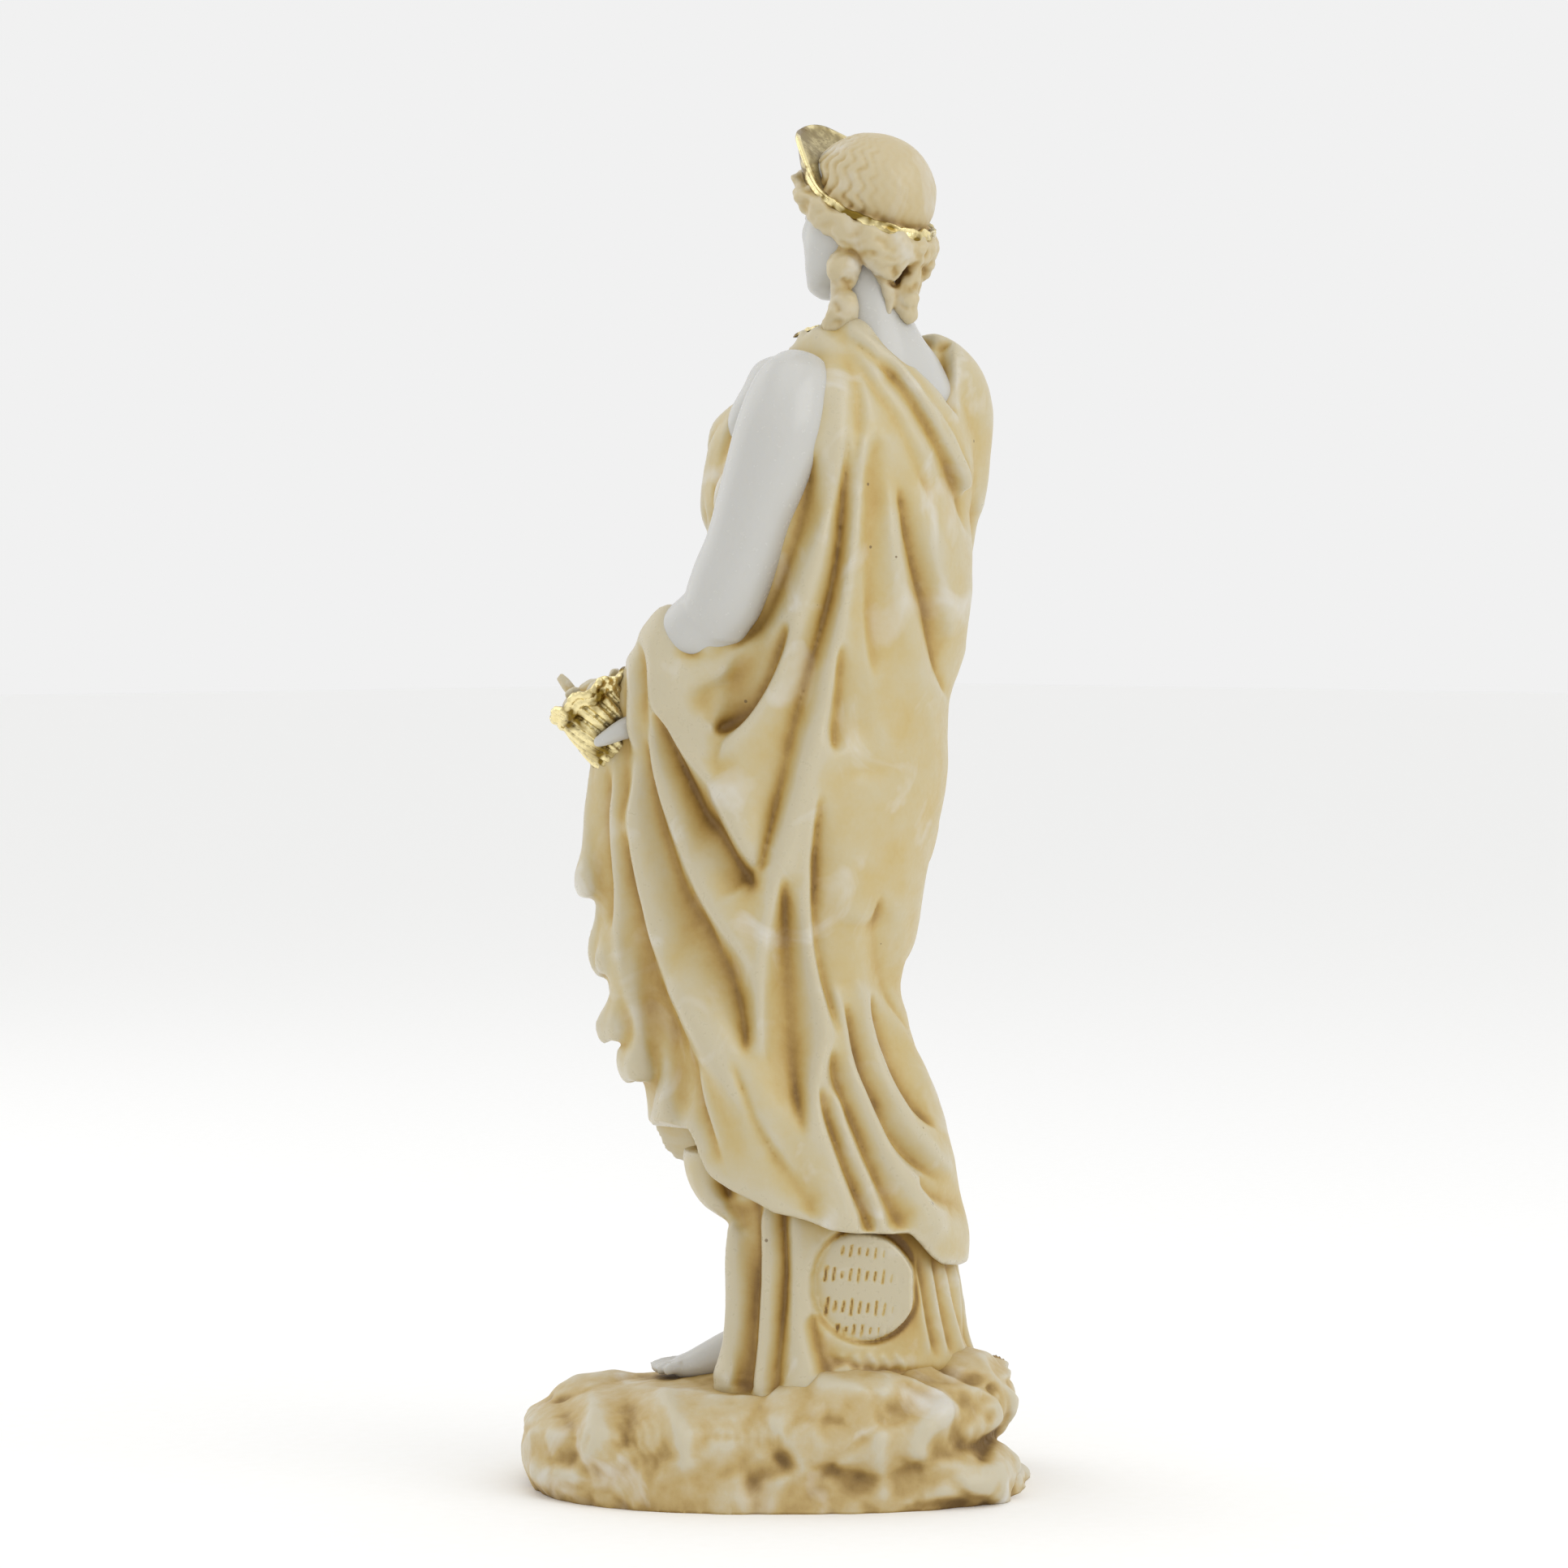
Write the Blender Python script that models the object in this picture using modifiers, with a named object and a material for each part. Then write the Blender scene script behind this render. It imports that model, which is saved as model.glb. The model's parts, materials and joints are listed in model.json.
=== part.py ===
# Alabaster goddess statue: a standing draped woman with a diadem, a lock on each shoulder and a
# horn of fruit in her left hand, cast in one piece with the rock she stands on.
#
# The masses are drawn in millimetres on a sculptor's stand: X runs to the right along the back of
# the figure, Y away from it and Z up. Masses of balls and drawn-out rings are fused, softened and
# carved with strokes, then the whole casting is turned to face -Y and scaled to metres.

import math

import bmesh
import bpy
import numpy as np
from mathutils import Matrix, Vector, noise

# driving dimensions, in millimetres and degrees
STATUE_HEIGHT = 260.0
ROCK_CENTRE = (0.0, 9.0)
ROCK_HALF_DEPTH = 39.0
SAW_HEIGHT = 0.4
FIGURE_TURN = 136.0
HEAD_AT = (15.8, -0.5, 243.0)
HEAD_TURN = 148.0
BAND_RISE = 7.2
BAND_HEIGHT = 2.3
BAND_DROOP = 1.8
BAND_RADII = (12.5, 11.6)
CREST_HEIGHT = 7.0
CREST_TURN = 0.16
PLATE_THICKNESS = 1.6
HORN_MOUTH = (-36.0, 2.6, 152.4)
HORN_AXIS = (0.46, 0.2, -0.88)
HORN_RADIUS = 8.6
HORN_GROOVES = 11
FRUIT_RADIUS = 2.9
SEAL_CENTRE = (15.3, 39.6)
SEAL_RADII = (9.6, 10.2)
SEAL_DEPTH = -19.6
FLUTE_COUNT = 17
FLUTE_DEPTHS = (0.9, 2.2)
BOULDER_FACES = 22
BOULDER_REACH = (0.86, 0.99)
TOE_PITCH = 1.75
FINGER_PITCH = 2.0

# how finely the masses are fused, and how many triangles the casting keeps
CLOTH_VOXEL = 1.0
FLESH_VOXEL = 0.7
CASTING_VOXEL = 0.7
CASTING_TRIANGLES = 9400

YAW = math.radians(FIGURE_TURN)
LEFT = np.array([math.cos(YAW), -math.sin(YAW), 0.0])
FRONT = np.array([-math.sin(YAW), -math.cos(YAW), 0.0])
ACROSS = np.array([1.0, 0.0, 0.0])
BACKWARD = np.array([0.0, -1.0, 0.0])
UP = np.array([0.0, 0.0, 1.0])


# ---- the sculptor's tools ----

def unit(v):
    v = np.asarray(v, float)
    return v / np.maximum(np.linalg.norm(v, axis=-1, keepdims=True), 1e-12)


def smooth(low, high, x):
    t = np.clip((x - low) / (high - low), 0, 1)
    return t * t * (3 - 2 * t)


def splined(rows, count):
    """A smooth curve through the rows, evenly spaced along its chords."""
    rows = np.asarray(rows, float)
    steps = np.linalg.norm(np.diff(rows[:, :3], axis=0), axis=1)
    knots = np.concatenate([[0], np.cumsum(np.maximum(steps, 1e-6))])
    slopes = np.gradient(rows, knots, axis=0)
    at = np.linspace(0, knots[-1], count)
    k = np.clip(np.searchsorted(knots, at, side="right") - 1, 0, len(rows) - 2)
    span = (knots[k + 1] - knots[k])[:, None]
    u = (at - knots[k])[:, None] / span
    start = (2 * u**3 - 3 * u**2 + 1) * rows[k] + (u**3 - 2 * u**2 + u) * slopes[k] * span
    end = (-2 * u**3 + 3 * u**2) * rows[k + 1] + (u**3 - u**2) * slopes[k + 1] * span
    return start + end


def coords(mesh):
    out = np.empty(len(mesh.vertices) * 3, np.float32)
    mesh.vertices.foreach_get("co", out)
    return out.reshape(-1, 3).astype(float)


def set_coords(mesh, points):
    mesh.vertices.foreach_set("co", np.asarray(points, np.float32).ravel())
    mesh.update()


def normals(mesh):
    out = np.empty(len(mesh.vertices) * 3, np.float32)
    mesh.vertex_normals.foreach_get("vector", out)
    return out.reshape(-1, 3).astype(float)


def mesh_of(name, bm):
    mesh = bpy.data.meshes.new(name)
    bm.to_mesh(mesh)
    bm.free()
    return mesh


def ball(name, centre, radii, turn=0.0, rings=20):
    """An ellipsoid turned about Z."""
    bm = bmesh.new()
    bmesh.ops.create_uvsphere(bm, u_segments=rings * 2, v_segments=rings, radius=1)
    bmesh.ops.scale(bm, verts=bm.verts, vec=radii)
    bmesh.ops.rotate(bm, verts=bm.verts, cent=(0, 0, 0), matrix=Matrix.Rotation(turn, 3, "Z"))
    bmesh.ops.translate(bm, verts=bm.verts, vec=centre)
    return mesh_of(name, bm)


def drawn(name, stations, side=ACROSS, level=False, around=32, rings=40, power=2.0, twist=None):
    """A sphere's rings drawn out along a spine of stations: x, y, z, half-width, half-depth.

    The half-width lies along side. Level rings stay horizontal. Twist is the depth, the turns and
    the number of the grooves that wind round it.
    """
    rows = splined(stations, rings)
    bm = bmesh.new()
    bmesh.ops.create_uvsphere(bm, u_segments=around, v_segments=rings + 1, radius=1)
    mesh = mesh_of(name, bm)
    sphere = coords(mesh)
    ring = np.rint(np.arccos(np.clip(sphere[:, 2], -1, 1)) / math.pi * (rings + 1)).astype(int)
    angle = np.arctan2(sphere[:, 1], sphere[:, 0])
    at = np.clip(ring - 1, 0, rings - 1)
    if level:
        along = np.tile([0.0, 0.0, np.sign(rows[-1, 2] - rows[0, 2])], (rings, 1))
    else:
        along = unit(np.gradient(rows[:, :3], axis=0))
    wide = unit(np.asarray(side, float) - along * (along @ np.asarray(side, float))[:, None])
    deep = np.cross(-along, wide)
    reach = (np.abs(np.cos(angle)) ** power + np.abs(np.sin(angle)) ** power) ** (-1 / power)
    if twist:
        depth, turns, grooves = twist
        reach = reach * (1 + depth * np.sin(grooves * angle + 2 * math.pi * turns * at / (rings - 1)))
    reach[(ring == 0) | (ring == rings + 1)] = 0
    row = rows[at]
    place = row[:, :3] + wide[at] * (row[:, 3] * np.cos(angle) * reach)[:, None]
    place = place + deep[at] * (row[:, 4] * np.sin(angle) * reach)[:, None]
    set_coords(mesh, place)
    return mesh


def joined(name, meshes):
    bm = bmesh.new()
    for mesh in meshes:
        bm.from_mesh(mesh)
    return mesh_of(name, bm)


def remade(mesh, kind, **settings):
    """The mesh as one modifier leaves it."""
    obj = bpy.data.objects.new(mesh.name, mesh)
    bpy.context.scene.collection.objects.link(obj)
    modifier = obj.modifiers.new(kind, kind)
    for key, value in settings.items():
        setattr(modifier, key, value)
    graph = bpy.context.evaluated_depsgraph_get()
    out = bpy.data.meshes.new_from_object(obj.evaluated_get(graph))
    out.name = mesh.name
    bpy.data.objects.remove(obj)
    bpy.data.meshes.remove(mesh)
    return out


def fused(name, meshes, voxel):
    return remade(joined(name, meshes), "REMESH", mode="VOXEL", voxel_size=voxel, adaptivity=0.0)


def soften(mesh, times):
    """Laplacian smoothing: each point moves half way to the mean of its neighbours."""
    ends = np.empty(len(mesh.edges) * 2, np.int32)
    mesh.edges.foreach_get("vertices", ends)
    a, b = ends.reshape(-1, 2).T
    p = coords(mesh)
    valence = np.bincount(ends, minlength=len(p)).astype(float)
    for _ in range(times):
        total = np.empty_like(p)
        for k in range(3):
            total[:, k] = np.bincount(a, p[b, k], len(p)) + np.bincount(b, p[a, k], len(p))
        p = p + 0.5 * (total / valence[:, None] - p)
    set_coords(mesh, p)


def carve(points, across, facing, strokes):
    """How far each stroke lifts the surface under it.

    A stroke is a height (sunk if negative), a width and a path of places across and up, as an
    elevation drawn along the direction across shows them. It fades out at both its ends.
    """
    flat = np.stack([points @ across, points[:, 2]], 1)
    push = np.zeros(len(points))
    for height, width, path in strokes:
        line = splined([(x, 0, z) for x, z in path], 24)[:, ::2]
        lengths = np.linalg.norm(np.diff(line, axis=0), axis=1)
        before = np.concatenate([[0], np.cumsum(lengths)])
        reach = 2.4 * width
        near = np.all((flat > line.min(0) - reach) & (flat < line.max(0) + reach), axis=1)
        found = np.flatnonzero(near)
        gap = np.full(len(found), 1e9)
        part = np.zeros(len(found))
        for k in range(len(lengths)):
            step = line[k + 1] - line[k]
            u = np.clip(((flat[found] - line[k]) @ step) / (step @ step), 0, 1)
            away = np.linalg.norm(flat[found] - line[k] - u[:, None] * step, axis=1)
            part = np.where(away < gap, (before[k] + u * lengths[k]) / before[-1], part)
            gap = np.minimum(gap, away)
        ends = smooth(0, 0.2, part) * smooth(1, 0.8, part)
        push[found] += height * np.exp(-((gap / width) ** 1.5)) * ends
    return push * facing


# ---- the mantle ----

TRUNK = [
    # x, y, z, half-width, half-depth
    (16.5, -1.0, 218.5, 7, 5), (16.5, -1.0, 215, 15, 8.5), (15.0, -1.0, 210, 22, 12.5),
    (13.5, -0.5, 204, 25.5, 16), (12.5, 0.0, 198, 26.5, 18.5), (11.0, 1.0, 190, 27, 20.5),
    (12.0, 0.0, 180, 27, 20), (12.6, 0.0, 170, 26.3, 18.8), (12.0, 0.0, 160, 26.2, 18.3),
    (9.0, 0.0, 150, 25.5, 19), (7.4, 0.0, 138, 27, 20.5), (5.2, 0.0, 128, 27.5, 21),
    (3.0, 0.0, 118, 27, 21), (2.2, 0.0, 108, 26, 20.5), (0.5, 0.0, 98, 25, 20),
    (0.2, 0.0, 88, 25.5, 20), (3.4, 0.0, 78, 27, 21), (5.2, 0.0, 70, 28, 21.8),
    (7.1, 0.0, 60, 29.2, 22.4), (9.3, 0.0, 50, 29.4, 22.4), (10.2, 0.0, 40, 28, 21),
]
CURTAIN = [
    # cloth falling from the left forearm
    (-18.2, -8, 166.6, 3, 3.6), (-19.2, -8, 162.4, 7.2, 6), (-21, -7, 155, 12.6, 8),
    (-21, -5, 144, 16.6, 8.5), (-21, -4, 134, 19, 9.5), (-20.4, -3, 122, 21.4, 10),
    (-19.5, -3, 112, 20.6, 10), (-17.5, -3, 104, 21.5, 10), (-15.5, -4, 96, 22, 10),
    (-13.5, -4.5, 88, 22, 10.5), (-10, -5, 78, 20, 11), (-7, -5, 68, 22, 12), (-6, -5, 60, 22, 12),
]
SLEEVE = [
    (25, 7, 219.6, 4.4, 4.6), (27.8, 9, 215.2, 8.2, 7.8), (29.7, 12.5, 208, 10.5, 10.2),
    (29.2, 14, 199, 10.5, 10.3), (27.2, 16, 188, 9.9, 10.2), (26.2, 19, 178, 9.6, 9.4),
    (23, 22, 170, 9, 8.6), (18, 27, 168, 7, 7),
]
LEFT_BUST = [
    (-0.2, -1.4, 213.5, 2.8, 3.4), (-1.8, -0.8, 209.5, 4.8, 5.6), (-3.0, -0.5, 206, 6.6, 7.4),
    (-4.1, 0.5, 202.5, 8.3, 9.0), (-4.8, 1, 198.5, 9.3, 10), (-5.1, 2, 193, 9.6, 11),
    (-5.0, 2, 186, 10.1, 11), (-4.2, 1, 178, 10.2, 10), (-2.4, 0, 170, 9, 9),
]
ELBOW_WRAP = [
    # cloth gathered under the left elbow, and the slack that hangs from it
    (-24.5, -9, 158.5, 3, 3), (-20, -14, 155, 3.8, 3.6), (-14.5, -17, 156, 3.6, 3.2),
    (-9, -17, 160.2, 3, 2.8), (-4.6, -15.4, 165.4, 2.6, 2.4), (-1.6, -13.6, 171, 2, 2),
]
SLING = [
    (-13, -13, 158, 6.5, 3.6), (-12, -13.4, 151, 8, 4.6), (-13, -12.4, 144, 7, 4.8), (-12, -11.4, 137, 5, 4),
]
SHOULDER_STRAPS = [
    [(1.8, 3, 213, 2.4, 2.4), (1.6, -1.5, 217.2, 2.6, 2), (4.4, -5.5, 218.6, 3, 2.2),
     (8.5, -9.5, 216.5, 3.6, 3.2), (12, -12, 209, 4, 3.6)],
    [(6.5, 0, 218.5, 3.2, 2.6), (10, -5, 219.6, 4.2, 2.8), (13, -8.5, 217, 4.6, 3.4),
     (16, -11, 210, 5, 3.6)],
    [(6, -2.5, 219.4, 2.4, 2.0), (9.9, -5.6, 219.4, 2.7, 2.1), (13.9, -7.7, 218.2, 2.8, 2.2),
     (19.8, -9.4, 213.3, 2.7, 2.3), (25.2, -9.0, 206.5, 2.6, 2.3), (29.8, -6.2, 199, 2.4, 2.4),
     (33.4, -1.4, 191, 2, 2)],
]
HANGING_FOLDS = [
    # top, bottom and radius of each fold at the curtain's free edge
    ((-34.0, 7, 143), (-36.4, 113.5), 2.7), ((-33.5, 5, 133), (-33.8, 98.5), 2.9),
    ((-31.0, 2, 124), (-31.4, 86), 3.2), ((-28.0, -2, 116), (-27.4, 79), 2.8),
    ((-23, -6, 105), (-21.2, 67), 3.0),
]
WAIST_ROLL = [
    # angle round the waist from the figure's left, height, radius
    (178, 156, 2.0), (160, 153, 3.4), (138, 153, 4.8), (110, 156, 5.6),
    (80, 160, 6.0), (50, 162, 6.2), (25, 162, 6.4), (5, 160, 5.5),
]
BACK_FOLDS = [
    # height, width, path: from the left shoulder down the back
    (0.8, 1.8, [(7, 218.5), (11, 203), (7.8, 184)]),
    (3.2, 2.3, [(8.6, 188), (3.2, 168), (-2.2, 154.5), (-12.5, 137.5)]),
    (3.0, 2.3, [(15, 206), (13, 182), (9.6, 161), (3.9, 135.5), (-3, 110), (-4, 82)]),
    (1.0, 2.0, [(19.5, 195), (22.6, 169), (28.4, 143)]),
    (1.7, 1.6, [(13, 221.5), (22, 214.8), (29.5, 205), (35, 193.5), (36.4, 187)]),
    (-3.0, 1.9, [(5.8, 198), (1.6, 181), (-9.5, 161.5)]),
    (-4.2, 2.5, [(1.2, 166), (-4.4, 154), (-13, 144.5)]),
    (-2.6, 2.1, [(11.6, 192), (7.4, 165), (0.6, 141), (-5.3, 116)]),
    (-2.8, 1.7, [(22, 192), (26.2, 175.5), (31, 152)]),
    # from the left forearm
    (3.4, 2.4, [(-21.5, 168), (-23.6, 152.5), (-17.2, 139.5), (-5.5, 118.5)]),
    (2.3, 2.2, [(-26, 150), (-22.6, 132), (-11.4, 108.5), (-5.2, 95)]),
    (3.0, 2.6, [(-29, 140), (-26.6, 118), (-17, 91), (3, 60)]),
    (1.6, 1.7, [(-32.4, 141), (-31.9, 116), (-27.6, 87)]),
    (-4.4, 2.3, [(-24.5, 149), (-15, 127.5), (-6.6, 116.2)]),
    (-3.9, 2.4, [(-27.8, 147), (-22.6, 120.5), (-11, 98), (-7.2, 84)]),
    (-3.8, 2.2, [(-30.6, 128), (-26.8, 99.5), (-11.5, 62.5)]),
    # below the hip
    (3.2, 2.0, [(5.6, 135), (4.7, 104), (7, 86), (6.6, 70), (12.6, 51)]),
    (2.2, 1.8, [(9.2, 97), (15.6, 74), (28.2, 51)]),
    (2.0, 1.8, [(13.8, 98), (21, 75), (31.7, 61)]),
    (-3.0, 2.8, [(-0.4, 119), (1.3, 98), (3.6, 68)]),
    (-2.8, 1.7, [(6.6, 133), (6.1, 111), (10, 87)]),
    (-2.8, 1.5, [(11.2, 94), (17.8, 74.5), (29.4, 60)]),
    (-2.2, 1.4, [(8.8, 84), (14.6, 68), (22.8, 51.5)]),
]
# how low the mantle hangs behind, across and up, and over the front, along the figure's left and up
HEM = (
    [-40, -25, -18, -10, -2, 5, 14, 24, 28, 33, 36],
    [71.5, 66.7, 63.7, 57.2, 53, 51.3, 49.2, 49.4, 45.2, 43.8, 45],
)
FRONT_HEM = ([-30, -10, 8, 14, 20], [46, 51, 63, 69, 71])


def right_side_folds():
    """Sleeve pleats, and swags drawn round the hip, on the elevation of the figure's right side."""
    folds = []
    for place in (-8, -2.5, 3, 8):
        folds.append((1.3, 1.5, [(place, 213), (place - 1, 190), (place + 6, 174)]))
    for top in (159, 141, 120, 96):
        folds.append((-2.4, 2.0, [(-18, top), (-6, top - 15), (20, top - 36 + (159 - top) * 0.15)]))
    return folds


def front_folds():
    """Gathers of the gown over the bust and long swags of the mantle, on the front elevation."""
    folds = []
    for place in (-8.5, -13.5, -19):
        folds.append((-1.3, 1.2, [(place, 210), (place - 0.5, 198), (place + 4.5, 169)]))
    for k in range(3):
        folds.append((2.0, 2.0, [(11 + 4 * k, 214), (6 + 5 * k, 199 - 4 * k), (-16 + 7 * k, 174 - 5 * k)]))
    for k in range(4):
        drop = 14 * k
        folds.append((2.6, 2.8, [(20 + 3 * k, 158 - 8 * k), (8 + 4 * k, 138 - 11 * k),
                                 (-8 + 3 * k, 117 - 15 * k), (-29 + 5 * k, 106 - 19 * k)]))
        folds.append((-3.2, 2.0, [(22 + 2.5 * k, 153 - 9 * k), (13 + 3.5 * k, 131 - 11 * k),
                                  (-5 + 4 * k, 112 - drop), (-29 + 6 * k, 95 - 14 * k)]))
    return folds


def clothed_masses():
    parts = [
        drawn("trunk", TRUNK, side=LEFT, level=True, around=64, rings=100),
        drawn("curtain", CURTAIN, side=FRONT, level=True, around=48, rings=80),
        drawn("sleeve", SLEEVE, side=LEFT, around=40, rings=50),
        drawn("left_bust", LEFT_BUST, level=True, around=40, rings=40),
        drawn("elbow_wrap", ELBOW_WRAP, side=UP),
        drawn("sling", SLING),
    ]
    for strap in SHOULDER_STRAPS:
        parts.append(drawn("strap", strap, side=FRONT))
    for (x, y, z), (foot_x, foot_z), r in HANGING_FOLDS:
        parts.append(drawn("fold", [
            (x, y, z, r * 0.6, r * 0.9),
            (x * 0.6 + foot_x * 0.4, y, z * 0.6 + foot_z * 0.4, r * 0.85, r * 1.3),
            (foot_x + 0.5, y, foot_z + 7, r * 0.9, r * 1.7),
            (foot_x, y, foot_z + 2.5, r * 1.1, r * 2),
            (foot_x + 0.3, y, foot_z, r * 0.9, r * 1.8),
        ], around=20, rings=20))
    for place in (-10.0, 9.5):
        centre = np.array([11, 1, 189.5]) + LEFT * place + FRONT * 13.2
        parts.append(ball("breast", centre, (9.6, 9.2, 11)))
    roll = []
    for degrees, z, r in WAIST_ROLL:
        a = math.radians(degrees)
        p = np.array([10, 0, z]) + LEFT * 27 * math.cos(a) + FRONT * 21 * math.sin(a)
        roll.append((*p, r, r * 0.8))
    parts.append(drawn("waist_roll", roll, side=UP, rings=50))
    return parts


def mantle():
    mesh = fused("mantle", clothed_masses(), CLOTH_VOXEL)
    soften(mesh, 6)
    p = coords(mesh)
    n = normals(mesh)
    behind = smooth(-0.25, 0.35, n @ BACKWARD)
    ahead = smooth(0.0, 0.5, n @ FRONT) * (1 - behind)
    aside = smooth(0.3, 0.7, n @ -LEFT) * (1 - behind) * (1 - ahead)
    push = carve(p, ACROSS, behind, BACK_FOLDS)
    push = push + carve(p, LEFT, ahead, front_folds())
    push = push + carve(p, FRONT, aside, right_side_folds())
    # the skin between the neck and the mantle's upper edge lies lower than the cloth
    edge = np.interp(p[:, 0], [10, 16, 20, 24, 29, 33], [226, 222.6, 219, 214.2, 209, 203.6])
    bare = smooth(-0.4, 0.8, p[:, 2] - edge) * smooth(14, 17, p[:, 0]) * smooth(32.6, 31, p[:, 0])
    push = push - 2.6 * bare * smooth(0, 0.2, n @ BACKWARD)
    p = p + n * push[:, None]
    # the hem: along the back, and rising over the front
    front_hem = np.interp(p @ LEFT, *FRONT_HEM)
    ahead = smooth(-6, 4, p @ FRONT)
    p[:, 2] = np.maximum(p[:, 2], np.interp(p[:, 0], *HEM) * (1 - ahead) + front_hem * ahead)
    set_coords(mesh, p)
    return mesh


# ---- the gown below the mantle, and the maker's blank seal ----

def gown():
    parts = [
        drawn("bell", [
            (6, 0.5, 80, 20, 14), (8, 0.5, 62, 22, 16), (11, 0.5, 50, 24, 17), (11.9, 0.5, 38, 24.6, 18.2),
            (12.2, 0.5, 27, 26.4, 19.4), (13.2, 0.5, 18, 29, 21.5),
        ], side=LEFT, level=True, around=56, rings=40),
        drawn("left_gown", [
            (-1.5, -10, 60, 7.5, 5), (-2, -11, 46, 8, 5.6), (-2.2, -11.4, 32, 8.6, 6),
            (-2.8, -11.8, 24, 9.4, 6.6), (-3.4, -12.2, 18.5, 10.8, 7.4),
        ], level=True),
        drawn("overfold", [
            (-14.5, -4, 66, 4.5, 8), (-14, -4, 60, 4.2, 8), (-11.5, -5, 55, 3.4, 8), (-9.5, -6, 52.5, 2, 6),
        ], level=True),
    ]
    for x, y, r in [(-7.9, -11.4, 3.2), (-3.1, -14.8, 3.0), (2.2, -17.4, 3.2)]:
        parts.append(drawn("flute", [
            (x + 0.6, y + 1.5, 60, r * 0.8, r * 0.8), (x, y, 46, r * 0.85, r * 0.9),
            (x - 0.2, y, 33, r * 0.9, r), (x - 0.7, y - 0.6, 27, r * 1.05, r * 1.15),
            (x - 1.3, y - 1.4, 22.5, r * 1.3, r * 1.45), (x - 1.5, y - 1.4, 19.6, r * 0.9, r),
        ], around=20, rings=24))
    mesh = fused("gown", parts, CLOTH_VOXEL)
    soften(mesh, 4)
    p = coords(mesh)
    n = normals(mesh)
    behind = smooth(-0.15, 0.3, n @ BACKWARD)
    # round flutes with sharp valleys between them, deeper toward the rock
    q = p - np.array([12.4, 0.5, 0])
    turn = np.arctan2(q @ FRONT / 0.74, q @ LEFT)
    shallow, deep = FLUTE_DEPTHS
    depth = shallow + (deep - shallow) * smooth(56, 22, p[:, 2])
    crest = np.abs(np.cos((turn + 0.13 * np.sin(turn * 3 + 1)) * FLUTE_COUNT / 2)) ** 0.8 - 0.6
    p = p + n * (depth * crest * (1 - behind) * smooth(0.9, 0.5, n[:, 2]))[:, None]
    gap = np.hypot((p[:, 0] - SEAL_CENTRE[0]) / SEAL_RADII[0], (p[:, 2] - SEAL_CENTRE[1]) / SEAL_RADII[1])
    face = smooth(1.04, 1.0, gap) * behind
    p[:, 1] = p[:, 1] * (1 - face) + SEAL_DEPTH * face
    set_coords(mesh, p)
    return mesh


# ---- bare skin: shoulders, arms, hands, neck and feet ----

def limbs():
    return [
        drawn("upper_arm", [
            (3.4, -11.4, 214.2, 5, 4.6), (2.6, -13.2, 211.4, 6.8, 6.6), (1.2, -15.6, 207.5, 7.9, 8),
            (-0.4, -17.2, 202, 8.5, 9), (-3.1, -17.8, 193.6, 8.1, 8.6), (-5.4, -17.6, 186.4, 7.6, 8),
            (-7.4, -17.2, 179.5, 7.5, 7.8), (-10, -16.4, 173, 7.6, 8), (-12, -15.4, 167.6, 7, 7.4),
            (-12.8, -14.4, 163.6, 5.4, 6),
        ]),
        drawn("forearm", [
            (-11.8, -14.6, 168, 6.8, 7), (-15.8, -12.4, 164, 7.2, 7.2), (-20, -8.5, 161, 6.6, 6.8),
            (-24, -2.5, 155.5, 5.4, 5.4), (-27.2, 3, 148, 4.6, 4.6),
        ], side=LEFT),
        drawn("left_shoulder", [
            (7.2, -5, 217, 4.2, 3.4), (2.2, -5.8, 214.8, 7, 6), (-0.2, -6.2, 210, 7.6, 7.2),
            (-2.2, -5.4, 205, 8.2, 6.6), (-3.4, -3.6, 199, 7.4, 6),
        ], level=True),
        drawn("right_forearm", [
            (23, 20, 169, 7, 7), (14, 26, 168, 6.2, 6.4), (4, 27, 168, 5.2, 5.4),
            (-4, 24, 169, 3.8, 4.4), (-9, 19, 168.5, 3, 5.4), (-13, 14, 166, 2, 4.2),
        ], side=FRONT),
        drawn("neck", [
            (18.5, 0, 196, 12, 8), (18.5, -0.5, 204, 14, 9), (18.5, -1, 209.5, 16.2, 10),
            (18.5, -1.5, 213.5, 13.6, 8.6), (17.8, -1.5, 217.5, 10, 7.6), (16.6, -1, 222, 8.2, 7.2),
            (15.7, -1, 228, 7.4, 6.8), (15.5, -0.3, 234, 7.2, 6.7), (15.5, 0.5, 240, 6.4, 6.6),
        ], side=LEFT),
    ]


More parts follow.
